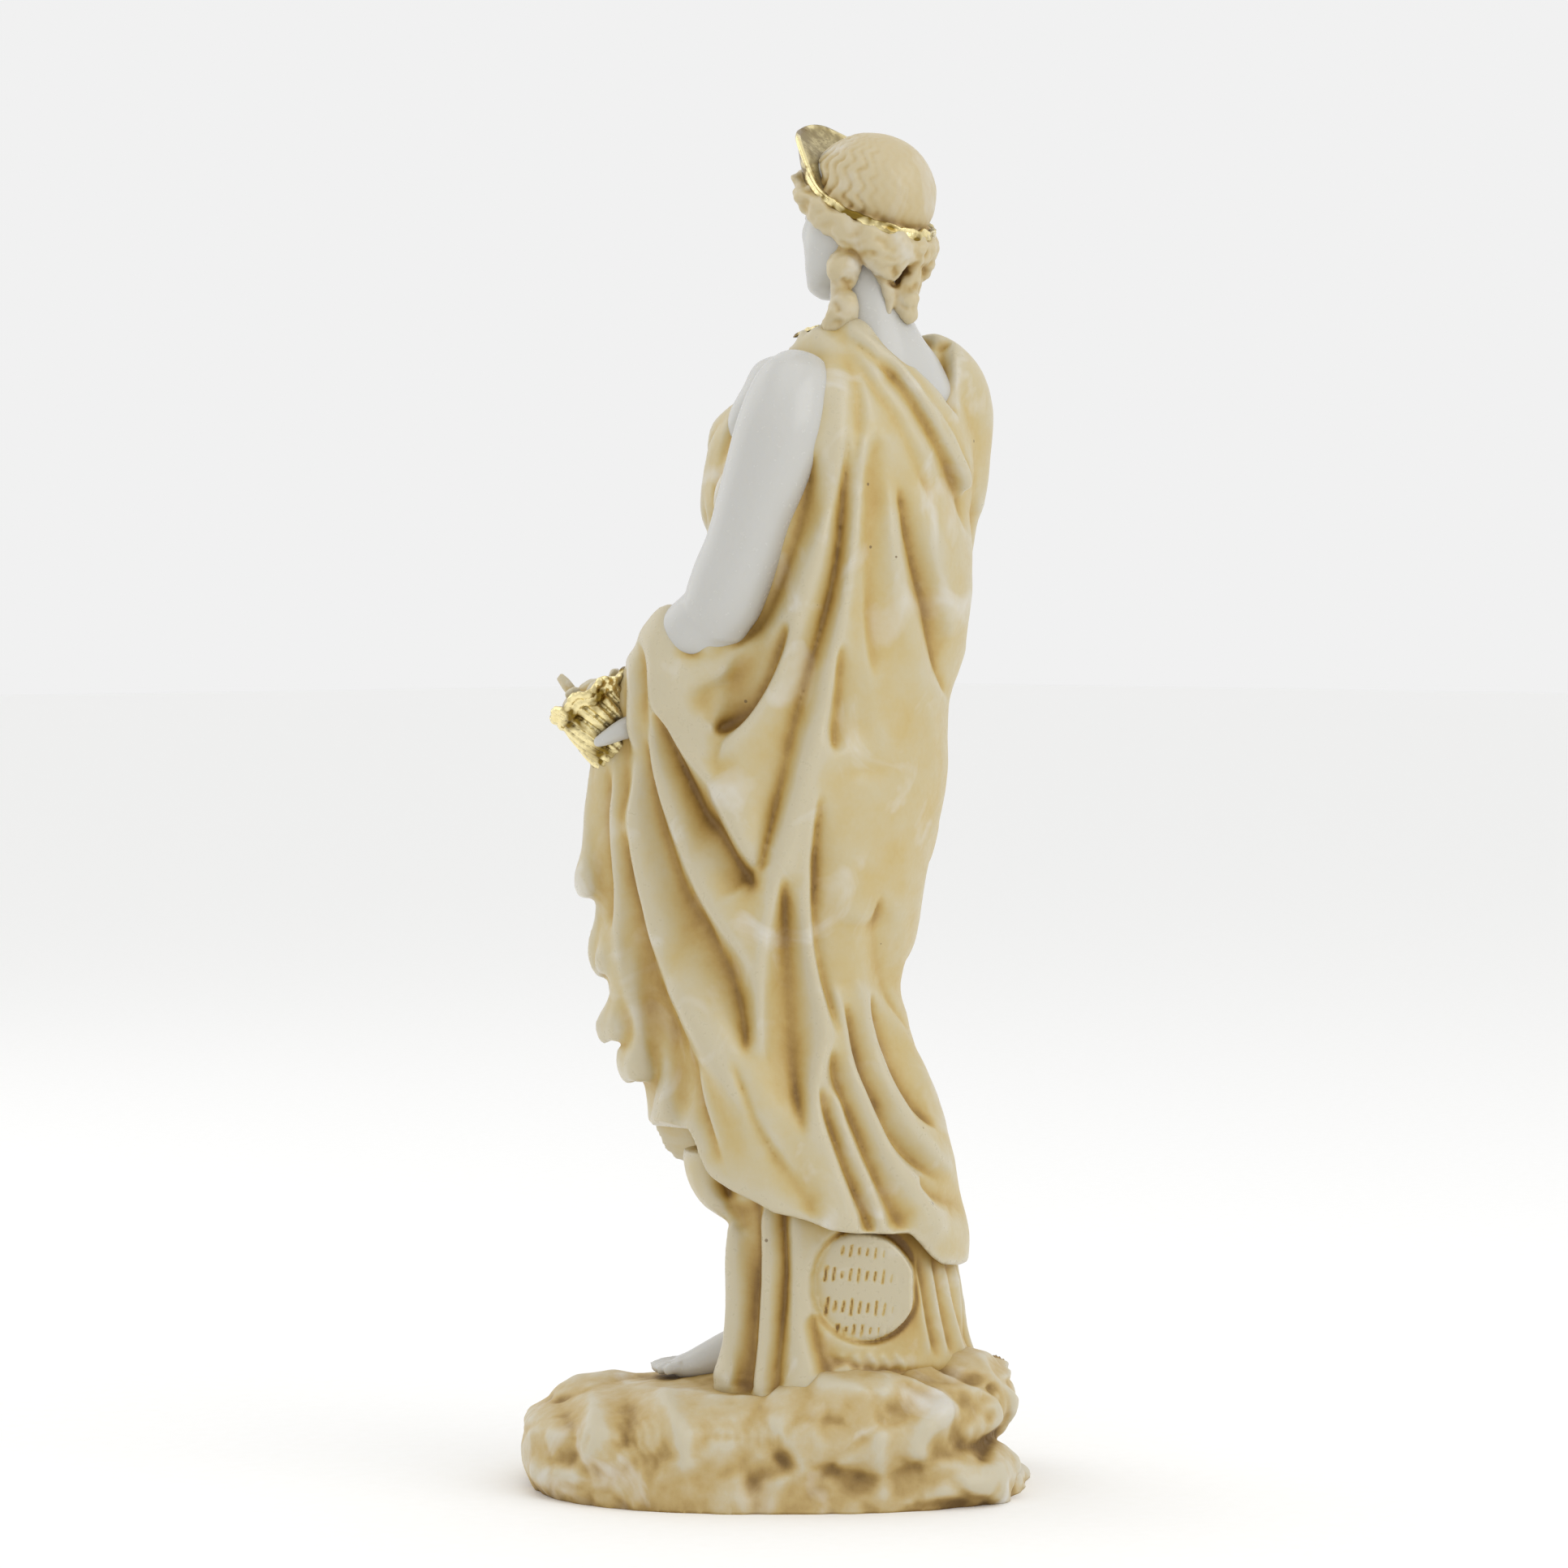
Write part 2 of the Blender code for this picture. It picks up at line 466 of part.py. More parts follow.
def hands():
    parts = [
        drawn("left_palm", [
            (-26.6, 3, 148, 4.2, 4.4), (-27.2, 6.5, 141, 4.2, 4.2), (-28, 10.5, 137.5, 4.8, 3.4),
            (-28.6, 14, 137.4, 4.4, 2.8),
        ], side=(0.83, 0, 0.56), rings=24),
        drawn("thumb", [
            (-27, -3.5, 146.5, 2.6, 2.2), (-30.5, -5.4, 145.4, 2.1, 1.9), (-33.4, -5.8, 143.9, 1.6, 1.5),
            (-36, -5.2, 142.6, 1, 1),
        ], side=(0.35, 0, 0.9), around=20, rings=20),
    ]
    # the right hand lies over the waist roll
    wrist = np.array([-4, 24.5, 168.5])
    way = unit(LEFT * 0.75 + FRONT * 0.2)
    parts.append(drawn("right_palm", [
        (*wrist, 3.4, 4),
        (*(wrist + way * 4 - UP * 0.4), 2.8, 5),
        (*(wrist + way * 9 - UP * 1.4), 2.4, 5),
    ], side=FRONT, rings=24))
    for k in range(4):
        # fingers of the left hand curl up the far side of the horn
        base = np.array([-32.6, 12.4, 140]) + np.array([1.9, 0.5, -1.9]) * k
        parts.append(drawn("finger", [
            (*base, 1.35, 1.35),
            (*(base + (-0.4, 2.6, 2.8)), 1.35, 1.35),
            (*(base + (-0.6, 2.6, 6.4)), 1.2, 1.2),
            (*(base + (-0.6, 1.4, 9.4)), 0.9, 0.9),
        ], side=(1, 0, 0.3), around=16, rings=16))
        knuckle = wrist + way * 8.5 + UP * (3 - FINGER_PITCH * 1.15 * k)
        parts.append(drawn("finger", [
            (*(knuckle - UP * 0.6), 1.3, 1.3),
            (*(knuckle + way * 4 + FRONT * 0.2 - UP * 1.4), 1.3, 1.3),
            (*(knuckle + way * 7.4 - FRONT * 1.2 - UP * 3), 1.15, 1.15),
            (*(knuckle + way * 8.6 - FRONT * 2.6 - UP * 4.6), 0.9, 0.9),
        ], side=FRONT, around=16, rings=16))
    return parts


def feet():
    parts = [drawn("left_foot", [
        (-5, -2, 30, 4, 4), (-9.5, -1.5, 28.5, 4, 4.4), (-14, -1, 26.6, 3.9, 3.8),
        (-18.5, -0.4, 25, 4.2, 2.7), (-21.6, 0, 24.3, 4.1, 2),
    ], side=(0, 1, 0), rings=24)]
    heel = np.array([3.5, 22, 0])
    way = unit(FRONT - LEFT * 0.25)
    side = np.array([-way[1], way[0], 0])
    parts.append(drawn("right_foot", [
        (*(heel + way * 2 + UP * 25.5), 4, 3.6),
        (*(heel + way * 7 + UP * 24.2), 4.2, 2.6),
        (*(heel + way * 10 + UP * 23.6), 4.1, 2),
    ], side=side, rings=24))
    for k in range(5):
        step = TOE_PITCH * k
        reach = 2.6 * math.sin(math.radians(22 * k))
        parts.append(drawn("toe", [
            (-20.5, step - 3.6, 24.6, 0.95, 1.2),
            (-22.6 - reach * 0.7, step - 3.6, 24.2, 0.95, 1.15),
            (-23.8 - reach, step - 3.6, 23.6, 0.8, 0.85),
        ], side=(0, 1, 0), around=14, rings=12))
        reach = 2.6 * math.cos(math.radians(20 * k))
        a = heel + way * 9 + side * (step - 3.5)
        parts.append(drawn("toe", [
            (*(a + UP * 23.8), 0.95, 1.2),
            (*(a + way * (2 + reach * 0.6) + UP * 23.3), 0.95, 1.1),
            (*(a + way * (3.2 + reach) + UP * 22.8), 0.8, 0.8),
        ], side=side, around=14, rings=12))
    return parts


# ---- the head, in its own axes: X forward, Y to its left, Z up from between the eyes ----

LOCKS = [
    # corkscrew locks that fall from behind the ears, on the stand: twist, then the stations
    ((0.08, 2.6, 2), [
        (13.2, -7, 237, 2.2, 2.2), (12.2, -8.2, 235, 2.3, 2.2), (11.2, -8.9, 232.2, 3.6, 3.2),
        (10.8, -8.9, 229.9, 2.7, 2.4), (10.2, -8.8, 228.2, 1.6, 1.6), (11, -9, 226, 3, 2.3),
        (11.2, -9.2, 223.8, 2.9, 2.3), (9.4, -8.8, 221.8, 2.4, 1.8), (7.4, -8.4, 220.8, 1.2, 1.1),
    ]),
    ((0.14, 2, 2), [
        (21.6, -5, 236.5, 2.6, 2.6), (23.8, -5.2, 233.2, 2.1, 2), (24.6, -5, 230.8, 1.6, 1.6),
        (23.4, -5.6, 228.6, 1.9, 1.9), (22.8, -5.8, 226.2, 2.3, 2.3), (23.8, -5, 223.6, 1.8, 1.8),
        (24.2, -4.6, 222.2, 1.1, 1.1),
    ]),
    ((0.1, 1.6, 2), [
        (18.6, -6.4, 236, 2.4, 2), (18, -7.2, 232.8, 1.9, 1.7), (19.3, -7.5, 229.5, 1.5, 1.4),
        (19.9, -7.2, 226.5, 1, 1), (19.5, -6.8, 223.6, 0.7, 0.7),
    ]),
]


def on_head(points):
    turn = math.radians(HEAD_TURN)
    spin = np.array([[math.cos(turn), -math.sin(turn), 0], [math.sin(turn), math.cos(turn), 0], [0, 0, 1]])
    return points @ spin.T + np.array(HEAD_AT)


def face():
    parts = [
        ball("cranium", (-1.4, 0, 3.2), (11.6, 9.8, 10.9)),
        drawn("face", [
            (2.6, 0, 12, 5.5, 6.5), (3.2, 0, 8, 8, 8.3), (3.4, 0, 4, 8.3, 8.7), (3.4, 0, 0, 8.1, 8.6),
            (4.2, 0, -4, 8.5, 9.2), (4.8, 0, -8, 8, 8.8), (5.4, 0, -12, 7.2, 7.6),
            (6.4, 0, -14.8, 5.4, 5.2), (7, 0, -16.2, 2.8, 2.6),
        ], level=True, rings=50),
        ball("chin", (9.3, 0, -13.2), (2.7, 3, 2.6)),
        drawn("nose", [
            (9.6, 0, 5.5, 1.6, 2), (10.9, 0, 2, 1.25, 1.6), (12, 0, -1.6, 1.1, 1.5),
            (13, 0, -4.3, 1.3, 1.5), (12.4, 0, -5.6, 1.3, 1.2),
        ], side=(0, 1, 0), around=20, rings=24),
        ball("upper_lip", (11.3, 0, -8), (1.25, 2.5, 0.75)),
        ball("lower_lip", (11, 0, -9.9), (1.3, 2.1, 0.85)),
    ]
    for s in (-1, 1):
        parts.append(ball("nostril", (12.1, s * 1.45, -5.3), (1.2, 0.85, 0.8)))
        parts.append(ball("cheek", (8.2, s * 4.4, -4), (3.2, 3.2, 3.8)))
    mesh = fused("face", parts, 0.6)
    soften(mesh, 3)
    p = coords(mesh)
    n = normals(mesh)
    strokes = [
        (-0.5, 0.6, [(-2.4, -9), (0, -8.85), (2.4, -9)]),
        (-0.5, 1, [(-1.6, -11.4), (0, -11.6), (1.6, -11.4)]),
    ]
    for s in (-1, 1):
        strokes.append((-1.3, 2, [(s * 2.2, 1), (s * 4, 1.2), (s * 5.8, 0.6)]))
        strokes.append((0.45, 0.9, [(s * 1.6, 2.9), (s * 3.6, 3.7), (s * 6.6, 2.6)]))
    p = p + n * carve(p, np.array([0, 1.0, 0]), smooth(0.1, 0.7, n[:, 0]), strokes)[:, None]
    set_coords(mesh, p)
    eyes = [ball("eye", (8.7, s * 4, -0.1), (2.1, 2.2, 1.55)) for s in (-1, 1)]
    mesh = joined("face", [mesh, *eyes])
    set_coords(mesh, on_head(coords(mesh)))
    return mesh


def band_height(p):
    """The diadem's lower edge rises toward the brow and sags over the ears."""
    return BAND_HEIGHT + BAND_RISE * p[:, 0] / 13.2 - BAND_DROOP * np.clip(p[:, 1] / 12, -1, 1) ** 2


def hair():
    cap = ball("cap", (-0.9, 0, 3.3), (12.5, 11.3, 11.8), rings=48)
    p = coords(cap)
    p[:, 2] -= np.minimum(p[:, 2] - band_height(p) + 0.5, 0) * 0.85
    set_coords(cap, p)
    parts = [cap]
    for s in (-1, 1):
        # a twisted roll frames the face and meets its fellow at the nape
        parts.append(drawn("roll", [
            (11.2, -s, 9, 2.4, 2.6), (10.4, s * 4.4, 8, 2.6, 2.6), (7.8, s * 8.4, 4.4, 3, 2.9),
            (2.6, s * 10, -0.6, 3.4, 3.1), (-4, s * 9.2, -4.6, 3.6, 3.1), (-8.8, s * 5.8, -6.6, 3.6, 3),
            (-10.6, -s * 0.4, -7, 3.4, 2.8),
        ], side=UP, around=28, rings=110, twist=(0.09, s * 7.5, 1)))
        parts.append(drawn("nape", [
            (-3, s * 8, -4, 3, 3), (-7, s * 6.5, -8, 4, 3.5), (-9.5, s * 3.2, -10.5, 3.5, 2.6),
        ], side=UP, rings=20))
    mesh = fused("hair", parts, FLESH_VOXEL)
    soften(mesh, 1)
    p = coords(mesh)
    # waves run from the crown down to the band
    q = p - np.array([-4, 0, 3])
    turn = np.arctan2(q[:, 1], q[:, 0])
    drop = np.arccos(np.clip(q[:, 2] / np.linalg.norm(q, axis=1), -1, 1))
    sway = 0.1 * np.sin(drop * 16.5 + 2.2 * np.sin(turn * 2))
    waves = 0.3 * np.sin((turn + sway) * 14) * smooth(0.05, 0.35, drop)
    cap_share = smooth(-1.2, 0.4, p[:, 2] - band_height(p))
    p = p + normals(mesh) * (waves * cap_share)[:, None]
    set_coords(mesh, on_head(p))
    masses = [mesh]
    for twist, rows in LOCKS:
        masses.append(drawn("lock", rows, around=28, rings=60, twist=twist))
    return joined("hair", masses)


def diadem():
    """A band round the head that rises into a plain crest over the brow."""
    bm = bmesh.new()
    bmesh.ops.create_grid(bm, x_segments=120, y_segments=8, size=1)
    mesh = mesh_of("diadem", bm)
    g = coords(mesh)
    turn = g[:, 0] * math.pi
    crest = smooth(1.45, 0.75, np.abs(turn + CREST_TURN))
    up = -1.1 + (2.3 + CREST_HEIGHT * crest) * (g[:, 1] + 1) / 2
    out = 0.2 + 0.2 * np.clip(up - 1, 0, None)
    forward = (BAND_RADII[0] + out) * np.cos(turn) - 0.4
    sideways = (BAND_RADII[1] + out) * np.sin(turn)
    height = BAND_HEIGHT + BAND_RISE * np.cos(turn) - BAND_DROOP * np.sin(turn) ** 2 + up
    set_coords(mesh, np.stack([forward, sideways, height], 1))
    bm = bmesh.new()
    bm.from_mesh(mesh)
    bmesh.ops.remove_doubles(bm, verts=bm.verts, dist=0.02)
    bmesh.ops.recalc_face_normals(bm, faces=bm.faces)
    bm.to_mesh(mesh)
    bm.free()
    mesh = remade(mesh, "SOLIDIFY", thickness=PLATE_THICKNESS, offset=0.0)
    set_coords(mesh, on_head(coords(mesh)))
    return mesh


# ---- the horn and its fruit ----

def horn():
    mouth = np.array(HORN_MOUTH)
    axis = unit(HORN_AXIS)
    wide = unit(np.cross(axis, [0, 1, 0]))
    deep = np.cross(axis, wide)
    r = HORN_RADIUS
    parts = [drawn("horn", [
        (*(mouth - axis * 1.2), r * 1.12, r * 1.12),
        (*(mouth + axis * 1.2), r * 1.05, r * 1.05),
        (*(mouth + axis * 6), r * 0.92, r * 0.92),
        (*(mouth + axis * 13), r * 0.78, r * 0.78),
        (*(mouth + axis * 20 + (0.5, 2, 0.5)), r * 0.6, r * 0.6),
        (*(mouth + axis * 26 + (1, 5, 2.5)), r * 0.42, r * 0.42),
        (*(mouth + axis * 30 + (0.6, 9, 6)), r * 0.26, r * 0.26),
        (*(mouth + axis * 31 + (-2.4, 12, 8.6)), r * 0.14, r * 0.14),
    ], side=wide, around=88, rings=80, twist=(0.04, 0.35, HORN_GROOVES))]
    parts.append(ball("fruit", mouth - axis * 1.5, (4.2, 4.2, 4.2)))
    for k in range(7):
        a = 2 * math.pi * k / 7
        lean = wide * math.cos(a) + deep * math.sin(a)
        parts.append(ball("fruit", mouth + lean * 4.9 - axis * 1.6, [FRUIT_RADIUS] * 3))
        tip = mouth + lean * 6.5 - axis * (3.4 + 1.2 * math.sin(k * 2.3))
        parts.append(drawn("petal", [
            (*(mouth + lean * 5), 1.1, 0.9), (*(mouth * 0.4 + tip * 0.6), 1.8, 1), (*tip, 1.3, 0.8),
        ], side=np.cross(axis, lean), around=14, rings=12))
    return parts


# ---- the rock ----

ROCK_SIDES = [
    # height, left edge, right edge
    (26, -18, 30), (23, -30, 39.5), (20.5, -39, 41), (17.5, -43.5, 40.5), (14, -47.2, 40.2),
    (9.5, -48.6, 39.2), (5, -49, 40.6), (2.6, -48.6, 46), (-1, -47, 47), (-4, -46, 46),
]
BOULDERS = [
    # place, radii, turn
    ((-32, 6, 12), (16, 15, 10.5), 0.3), ((-24, 27, 14), (16, 13, 9), 0.2),
    ((-19.5, 25, 16.5), (7, 7.6, 7.4), 0.1), ((-20, 12, 15), (17, 15, 7.2), 0.1),
    ((24, -10, 15.5), (18.5, 12, 11), 0.15), ((32, 1, 18), (13.4, 14, 10), 0),
    ((28, 27, 13), (15, 15, 10), 0.4), ((6, 38, 13), (19, 10, 9), 0),
    ((13, -18, 14.5), (22, 12, 12), 0.1), ((-10, -12, 9), (26, 15.5, 12.5), -0.1),
    ((-31, -6, 7.5), (17.4, 17, 12), -0.3), ((20, -10, 4), (26, 19, 11), 0.1),
]


def hewn(place, radii, turn, seed):
    """A boulder with flat faces struck off it."""
    mesh = ball("boulder", (0, 0, 0), (1, 1, 1), rings=36)
    chance = np.random.default_rng(seed)
    faces = unit(chance.normal(size=(BOULDER_FACES, 3)))
    reach = chance.uniform(*BOULDER_REACH, BOULDER_FACES)
    p = coords(mesh)
    p = p * np.minimum((reach / np.maximum(p @ faces.T, 0.01)).min(1), 1)[:, None] * radii
    c, s = math.cos(turn), math.sin(turn)
    set_coords(mesh, np.stack([p[:, 0] * c - p[:, 1] * s, p[:, 0] * s + p[:, 1] * c, p[:, 2]], 1) + place)
    return mesh


def rock():
    rows = []
    for z, left, right in ROCK_SIDES:
        half = (right - left) / 2
        rows.append(((left + right) / 2, ROCK_CENTRE[1], z, half, min(ROCK_HALF_DEPTH, half * 0.84)))
    parts = [drawn("rock", rows, level=True, around=100, rings=50, power=2.5)]
    for number, (place, radii, turn) in enumerate(BOULDERS):
        parts.append(hewn(place, radii, turn, 7 + number))
    mesh = fused("rock", parts, CLOTH_VOXEL)
    soften(mesh, 2)
    p = coords(mesh)
    n = normals(mesh)
    push = np.empty(len(p))
    for k, v in enumerate(p):
        # broad broken planes: how much nearer the nearest of scattered centres is than the next
        near, _ = noise.voronoi(Vector((v[0] / 17 + 3.3, v[1] / 17, v[2] / 24)))
        push[k] = 1.1 * smooth(0, 0.5, near[1] - near[0]) - 0.8
    side = smooth(0.85, 0.3, n[:, 2])
    p = p + n * (push * (0.4 + 0.6 * side))[:, None]
    set_coords(mesh, p)
    return mesh


# ---- the casting ----

def largest_body(bm):
    """Drop every shell but the outer one."""
    left = set(bm.verts)
    bodies = []
    while left:
        front = [next(iter(left))]
        body = set(front)
        while front:
            vert = front.pop()
            for edge in vert.link_edges:
                other = edge.other_vert(vert)
                if other not in body:
                    body.add(other)
                    front.append(other)
        bodies.append(body)
        left -= body
    keep = max(bodies, key=len)
    bmesh.ops.delete(bm, geom=[v for v in bm.verts if v not in keep], context="VERTS")


def sawn_flat(bm):
    """Saw the foot off level and close the cut."""
    geometry = bm.verts[:] + bm.edges[:] + bm.faces[:]
    cut = bmesh.ops.bisect_plane(bm, geom=geometry, plane_co=(0, 0, SAW_HEIGHT), plane_no=(0, 0, -1),
                                 clear_outer=True)
    rim = [e for e in cut["geom_cut"] if isinstance(e, bmesh.types.BMEdge)]
    bmesh.ops.holes_fill(bm, edges=rim, sides=0)
    bmesh.ops.triangulate(bm, faces=bm.faces)


def casting():
    masses = [mantle(), gown(), *limbs(), *hands(), *feet(), face(), hair(), diadem(), *horn(), rock()]
    masses.append(ball("brooch", (4.4, -3.6, 220.2), (2.7, 2.3, 1.0)))
    mesh = fused("goddess_statue", masses, CASTING_VOXEL)
    ratio = CASTING_TRIANGLES / (2 * len(mesh.polygons))
    mesh = remade(mesh, "DECIMATE", decimate_type="COLLAPSE", ratio=ratio, use_collapse_triangulate=True)
    bm = bmesh.new()
    bm.from_mesh(mesh)
    largest_body(bm)
    sawn_flat(bm)
    bm.to_mesh(mesh)
    bm.free()
    # turn the figure to face -Y, stand it over the origin and bring it to its true height
    p = coords(mesh) - np.array([*ROCK_CENTRE, SAW_HEIGHT])
    c, s = math.cos(YAW), math.sin(YAW)
    p = np.stack([p[:, 0] * c - p[:, 1] * s, p[:, 0] * s + p[:, 1] * c, p[:, 2]], 1)
    set_coords(mesh, p * (STATUE_HEIGHT / p[:, 2].max() / 1000))
    return mesh


def material():
    """Creamy cast alabaster with a soft polish."""
    mat = bpy.data.materials.new("cast_alabaster")
    mat.use_nodes = True
    shader = mat.node_tree.nodes["Principled BSDF"]
    shader.inputs["Base Color"].default_value = (0.66, 0.58, 0.42, 1.0)
    shader.inputs["Roughness"].default_value = 0.4
    shader.inputs["Metallic"].default_value = 0.0
    return mat


def main():
    for obj in list(bpy.data.objects):
        bpy.data.objects.remove(obj)
    collection = bpy.data.collections.new("goddess_statue")
    bpy.context.scene.collection.children.link(collection)
    mesh = casting()
    mesh.materials.clear()
    mesh.materials.append(material())
    mesh.shade_smooth()
    mesh.set_sharp_from_angle(angle=math.radians(50))
    collection.objects.link(bpy.data.objects.new("goddess_statue", mesh))


main()
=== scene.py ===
import json
import math

import bmesh
import bpy
import numpy as np
from mathutils import Matrix, Vector, noise

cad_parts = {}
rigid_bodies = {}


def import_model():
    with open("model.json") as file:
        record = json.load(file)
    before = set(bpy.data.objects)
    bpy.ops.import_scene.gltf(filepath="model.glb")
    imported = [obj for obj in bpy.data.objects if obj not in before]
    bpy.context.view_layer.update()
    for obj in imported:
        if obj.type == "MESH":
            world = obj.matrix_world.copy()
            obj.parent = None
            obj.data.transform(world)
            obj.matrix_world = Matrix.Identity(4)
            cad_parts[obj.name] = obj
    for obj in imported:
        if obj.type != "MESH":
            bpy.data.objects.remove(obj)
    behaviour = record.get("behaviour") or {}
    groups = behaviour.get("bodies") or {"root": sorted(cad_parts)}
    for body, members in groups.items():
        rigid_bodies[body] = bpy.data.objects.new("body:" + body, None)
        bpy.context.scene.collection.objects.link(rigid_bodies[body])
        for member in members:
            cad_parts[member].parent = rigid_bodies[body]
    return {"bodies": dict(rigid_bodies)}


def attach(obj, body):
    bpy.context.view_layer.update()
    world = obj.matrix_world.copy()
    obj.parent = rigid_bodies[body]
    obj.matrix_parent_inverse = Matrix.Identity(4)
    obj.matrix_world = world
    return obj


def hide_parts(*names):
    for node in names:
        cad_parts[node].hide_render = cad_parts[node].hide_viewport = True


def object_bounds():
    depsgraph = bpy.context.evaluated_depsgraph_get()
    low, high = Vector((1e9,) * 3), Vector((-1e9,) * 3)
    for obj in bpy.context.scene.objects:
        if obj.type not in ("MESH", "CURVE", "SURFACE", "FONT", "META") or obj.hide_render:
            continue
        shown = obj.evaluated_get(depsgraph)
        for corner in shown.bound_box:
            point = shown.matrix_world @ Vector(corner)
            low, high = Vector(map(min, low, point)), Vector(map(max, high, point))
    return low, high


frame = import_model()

cadBox = [list(corner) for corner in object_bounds()]
print("frame loaded")

# The figure is modelled in millimetres on a sculptor's stand: X runs to the right along the back
# of the figure, Y away from the sculptor and Z up. It is turned into the frame at the very end.
stand = {
    "figureTurn": 136,            # degrees from the stand to the frame, where the figure faces -Y
    "middle": (0.0, 9.0),         # centre of the rock's footprint
    "sawHeight": 0.4,             # the rock is sawn off level here
    "eyeLevel": 134.9,            # the height on the stand's axis that the sculptor looks at,
    "eyeAway": 1000.0,            # from this far off
    "eyeRise": 2.0,               # and this many degrees above level
}
figureYaw = math.radians(stand["figureTurn"])
toLeft = np.array([math.cos(figureYaw), -math.sin(figureYaw), 0.0])      # the figure's own left
toFront = np.array([-math.sin(figureYaw), -math.cos(figureYaw), 0.0])    # and its front
toRight = -toLeft
across = np.array([1.0, 0.0, 0.0])
upward = np.array([0.0, 0.0, 1.0])
toSculptor = np.array([0.0, -1.0, 0.0])
eyeRise = math.radians(stand["eyeRise"])
eyeAhead = np.array([0, math.cos(eyeRise), -math.sin(eyeRise)])
eyeUp = np.array([0, math.sin(eyeRise), math.cos(eyeRise)])
eyeAt = -stand["eyeAway"] * eyeAhead + (0, 0, stand["eyeLevel"])


def unit(v):
    v = np.asarray(v, float)
    return v / np.maximum(np.linalg.norm(v, axis=-1, keepdims=True), 1e-12)


def smooth(low, high, x):
    # 0 at low and 1 at high, with a soft start and end, whichever of the two is larger
    t = np.clip((x - low) / (high - low), 0, 1)
    return t * t * (3 - 2 * t)


def splined(rows, count):
    # a smooth curve through the rows, evenly spaced along its chords
    rows = np.asarray(rows, float)
    steps = np.linalg.norm(np.diff(rows[:, :3], axis=0), axis=1)
    knots = np.concatenate([[0], np.cumsum(np.maximum(steps, 1e-6))])
    slopes = np.gradient(rows, knots, axis=0)
    at = np.linspace(0, knots[-1], count)
    k = np.clip(np.searchsorted(knots, at, side="right") - 1, 0, len(rows) - 2)
    span = (knots[k + 1] - knots[k])[:, None]
    u = (at - knots[k])[:, None] / span
    start = (2 * u**3 - 3 * u**2 + 1) * rows[k] + (u**3 - 2 * u**2 + u) * slopes[k] * span
    end = (-2 * u**3 + 3 * u**2) * rows[k + 1] + (u**3 - u**2) * slopes[k + 1] * span
    return start + end


def vectorsOf(source, field):
    out = np.empty(len(source) * 3, np.float32)
    source.foreach_get(field, out)
    return out.reshape(-1, 3).astype(float)


def coords(mesh):
    return vectorsOf(mesh.vertices, "co")


def normals(mesh):
    return vectorsOf(mesh.vertex_normals, "vector")


def setCoords(mesh, points):
    mesh.vertices.foreach_set("co", np.asarray(points, np.float32).ravel())
    mesh.update()


def pushOut(mesh, lift):
    # each point moves along its own normal
    setCoords(mesh, coords(mesh) + normals(mesh) * lift[:, None])


def meshOf(name, bm):
    mesh = bpy.data.meshes.new(name)
    bm.to_mesh(mesh)
    bm.free()
    return mesh


def addObject(name, data):
    obj = bpy.data.objects.new(name, data)
    bpy.context.scene.collection.objects.link(obj)
    return obj


def ball(name, centre, radii, turn=0.0, rings=24):
    bm = bmesh.new()
    bmesh.ops.create_uvsphere(bm, u_segments=rings * 2, v_segments=rings, radius=1)
    bmesh.ops.scale(bm, verts=bm.verts, vec=radii)
    bmesh.ops.rotate(bm, verts=bm.verts, cent=(0, 0, 0), matrix=Matrix.Rotation(turn, 3, "Z"))
    bmesh.ops.translate(bm, verts=bm.verts, vec=centre)
    return meshOf(name, bm)


def drawn(name, stations, side=across, level=False, around=40, rings=48, power=2.0, twist=None):
    # A sphere's rings drawn out along a spine of stations: x, y, z, half-width along side, half-depth.
    # Level rings stay flat. Twist is the depth, turns and number of the grooves that wind round it.
    rows = splined(stations, rings)
    bm = bmesh.new()
    bmesh.ops.create_uvsphere(bm, u_segments=around, v_segments=rings + 1, radius=1)
    mesh = meshOf(name, bm)
    sphere = coords(mesh)
    ring = np.rint(np.arccos(np.clip(sphere[:, 2], -1, 1)) / math.pi * (rings + 1)).astype(int)
    angle = np.arctan2(sphere[:, 1], sphere[:, 0])
    at = np.clip(ring - 1, 0, rings - 1)
    if level:
        along = np.tile([0.0, 0.0, np.sign(rows[-1, 2] - rows[0, 2])], (rings, 1))
    else:
        along = unit(np.gradient(rows[:, :3], axis=0))
    side = np.asarray(side, float)
    wide = unit(side - along * (along @ side)[:, None])
    deep = np.cross(-along, wide)
    reach = (np.abs(np.cos(angle)) ** power + np.abs(np.sin(angle)) ** power) ** (-1 / power)
    if twist:
        depth, turns, grooves = twist
        reach = reach * (1 + depth * np.sin(grooves * angle + 2 * math.pi * turns * at / (rings - 1)))
    reach[(ring == 0) | (ring == rings + 1)] = 0
    row = rows[at]
    place = row[:, :3] + wide[at] * (row[:, 3] * np.cos(angle) * reach)[:, None]
    place = place + deep[at] * (row[:, 4] * np.sin(angle) * reach)[:, None]
    setCoords(mesh, place)
    return mesh


def joined(name, meshes):
    bm = bmesh.new()
    for mesh in meshes:
        bm.from_mesh(mesh)
    return meshOf(name, bm)


def remade(mesh, kind, **settings):
    # the mesh as one modifier leaves it
    name = mesh.name
    obj = addObject(name, mesh)
    modifier = obj.modifiers.new(kind, kind)
    for key, value in settings.items():
        setattr(modifier, key, value)
    graph = bpy.context.evaluated_depsgraph_get()
    out = bpy.data.meshes.new_from_object(obj.evaluated_get(graph))
    bpy.data.objects.remove(obj)
    bpy.data.meshes.remove(mesh)
    out.name = name
    return out


def fused(name, meshes, voxel):
    return remade(joined(name, meshes), "REMESH", mode="VOXEL", voxel_size=voxel, adaptivity=0.0)


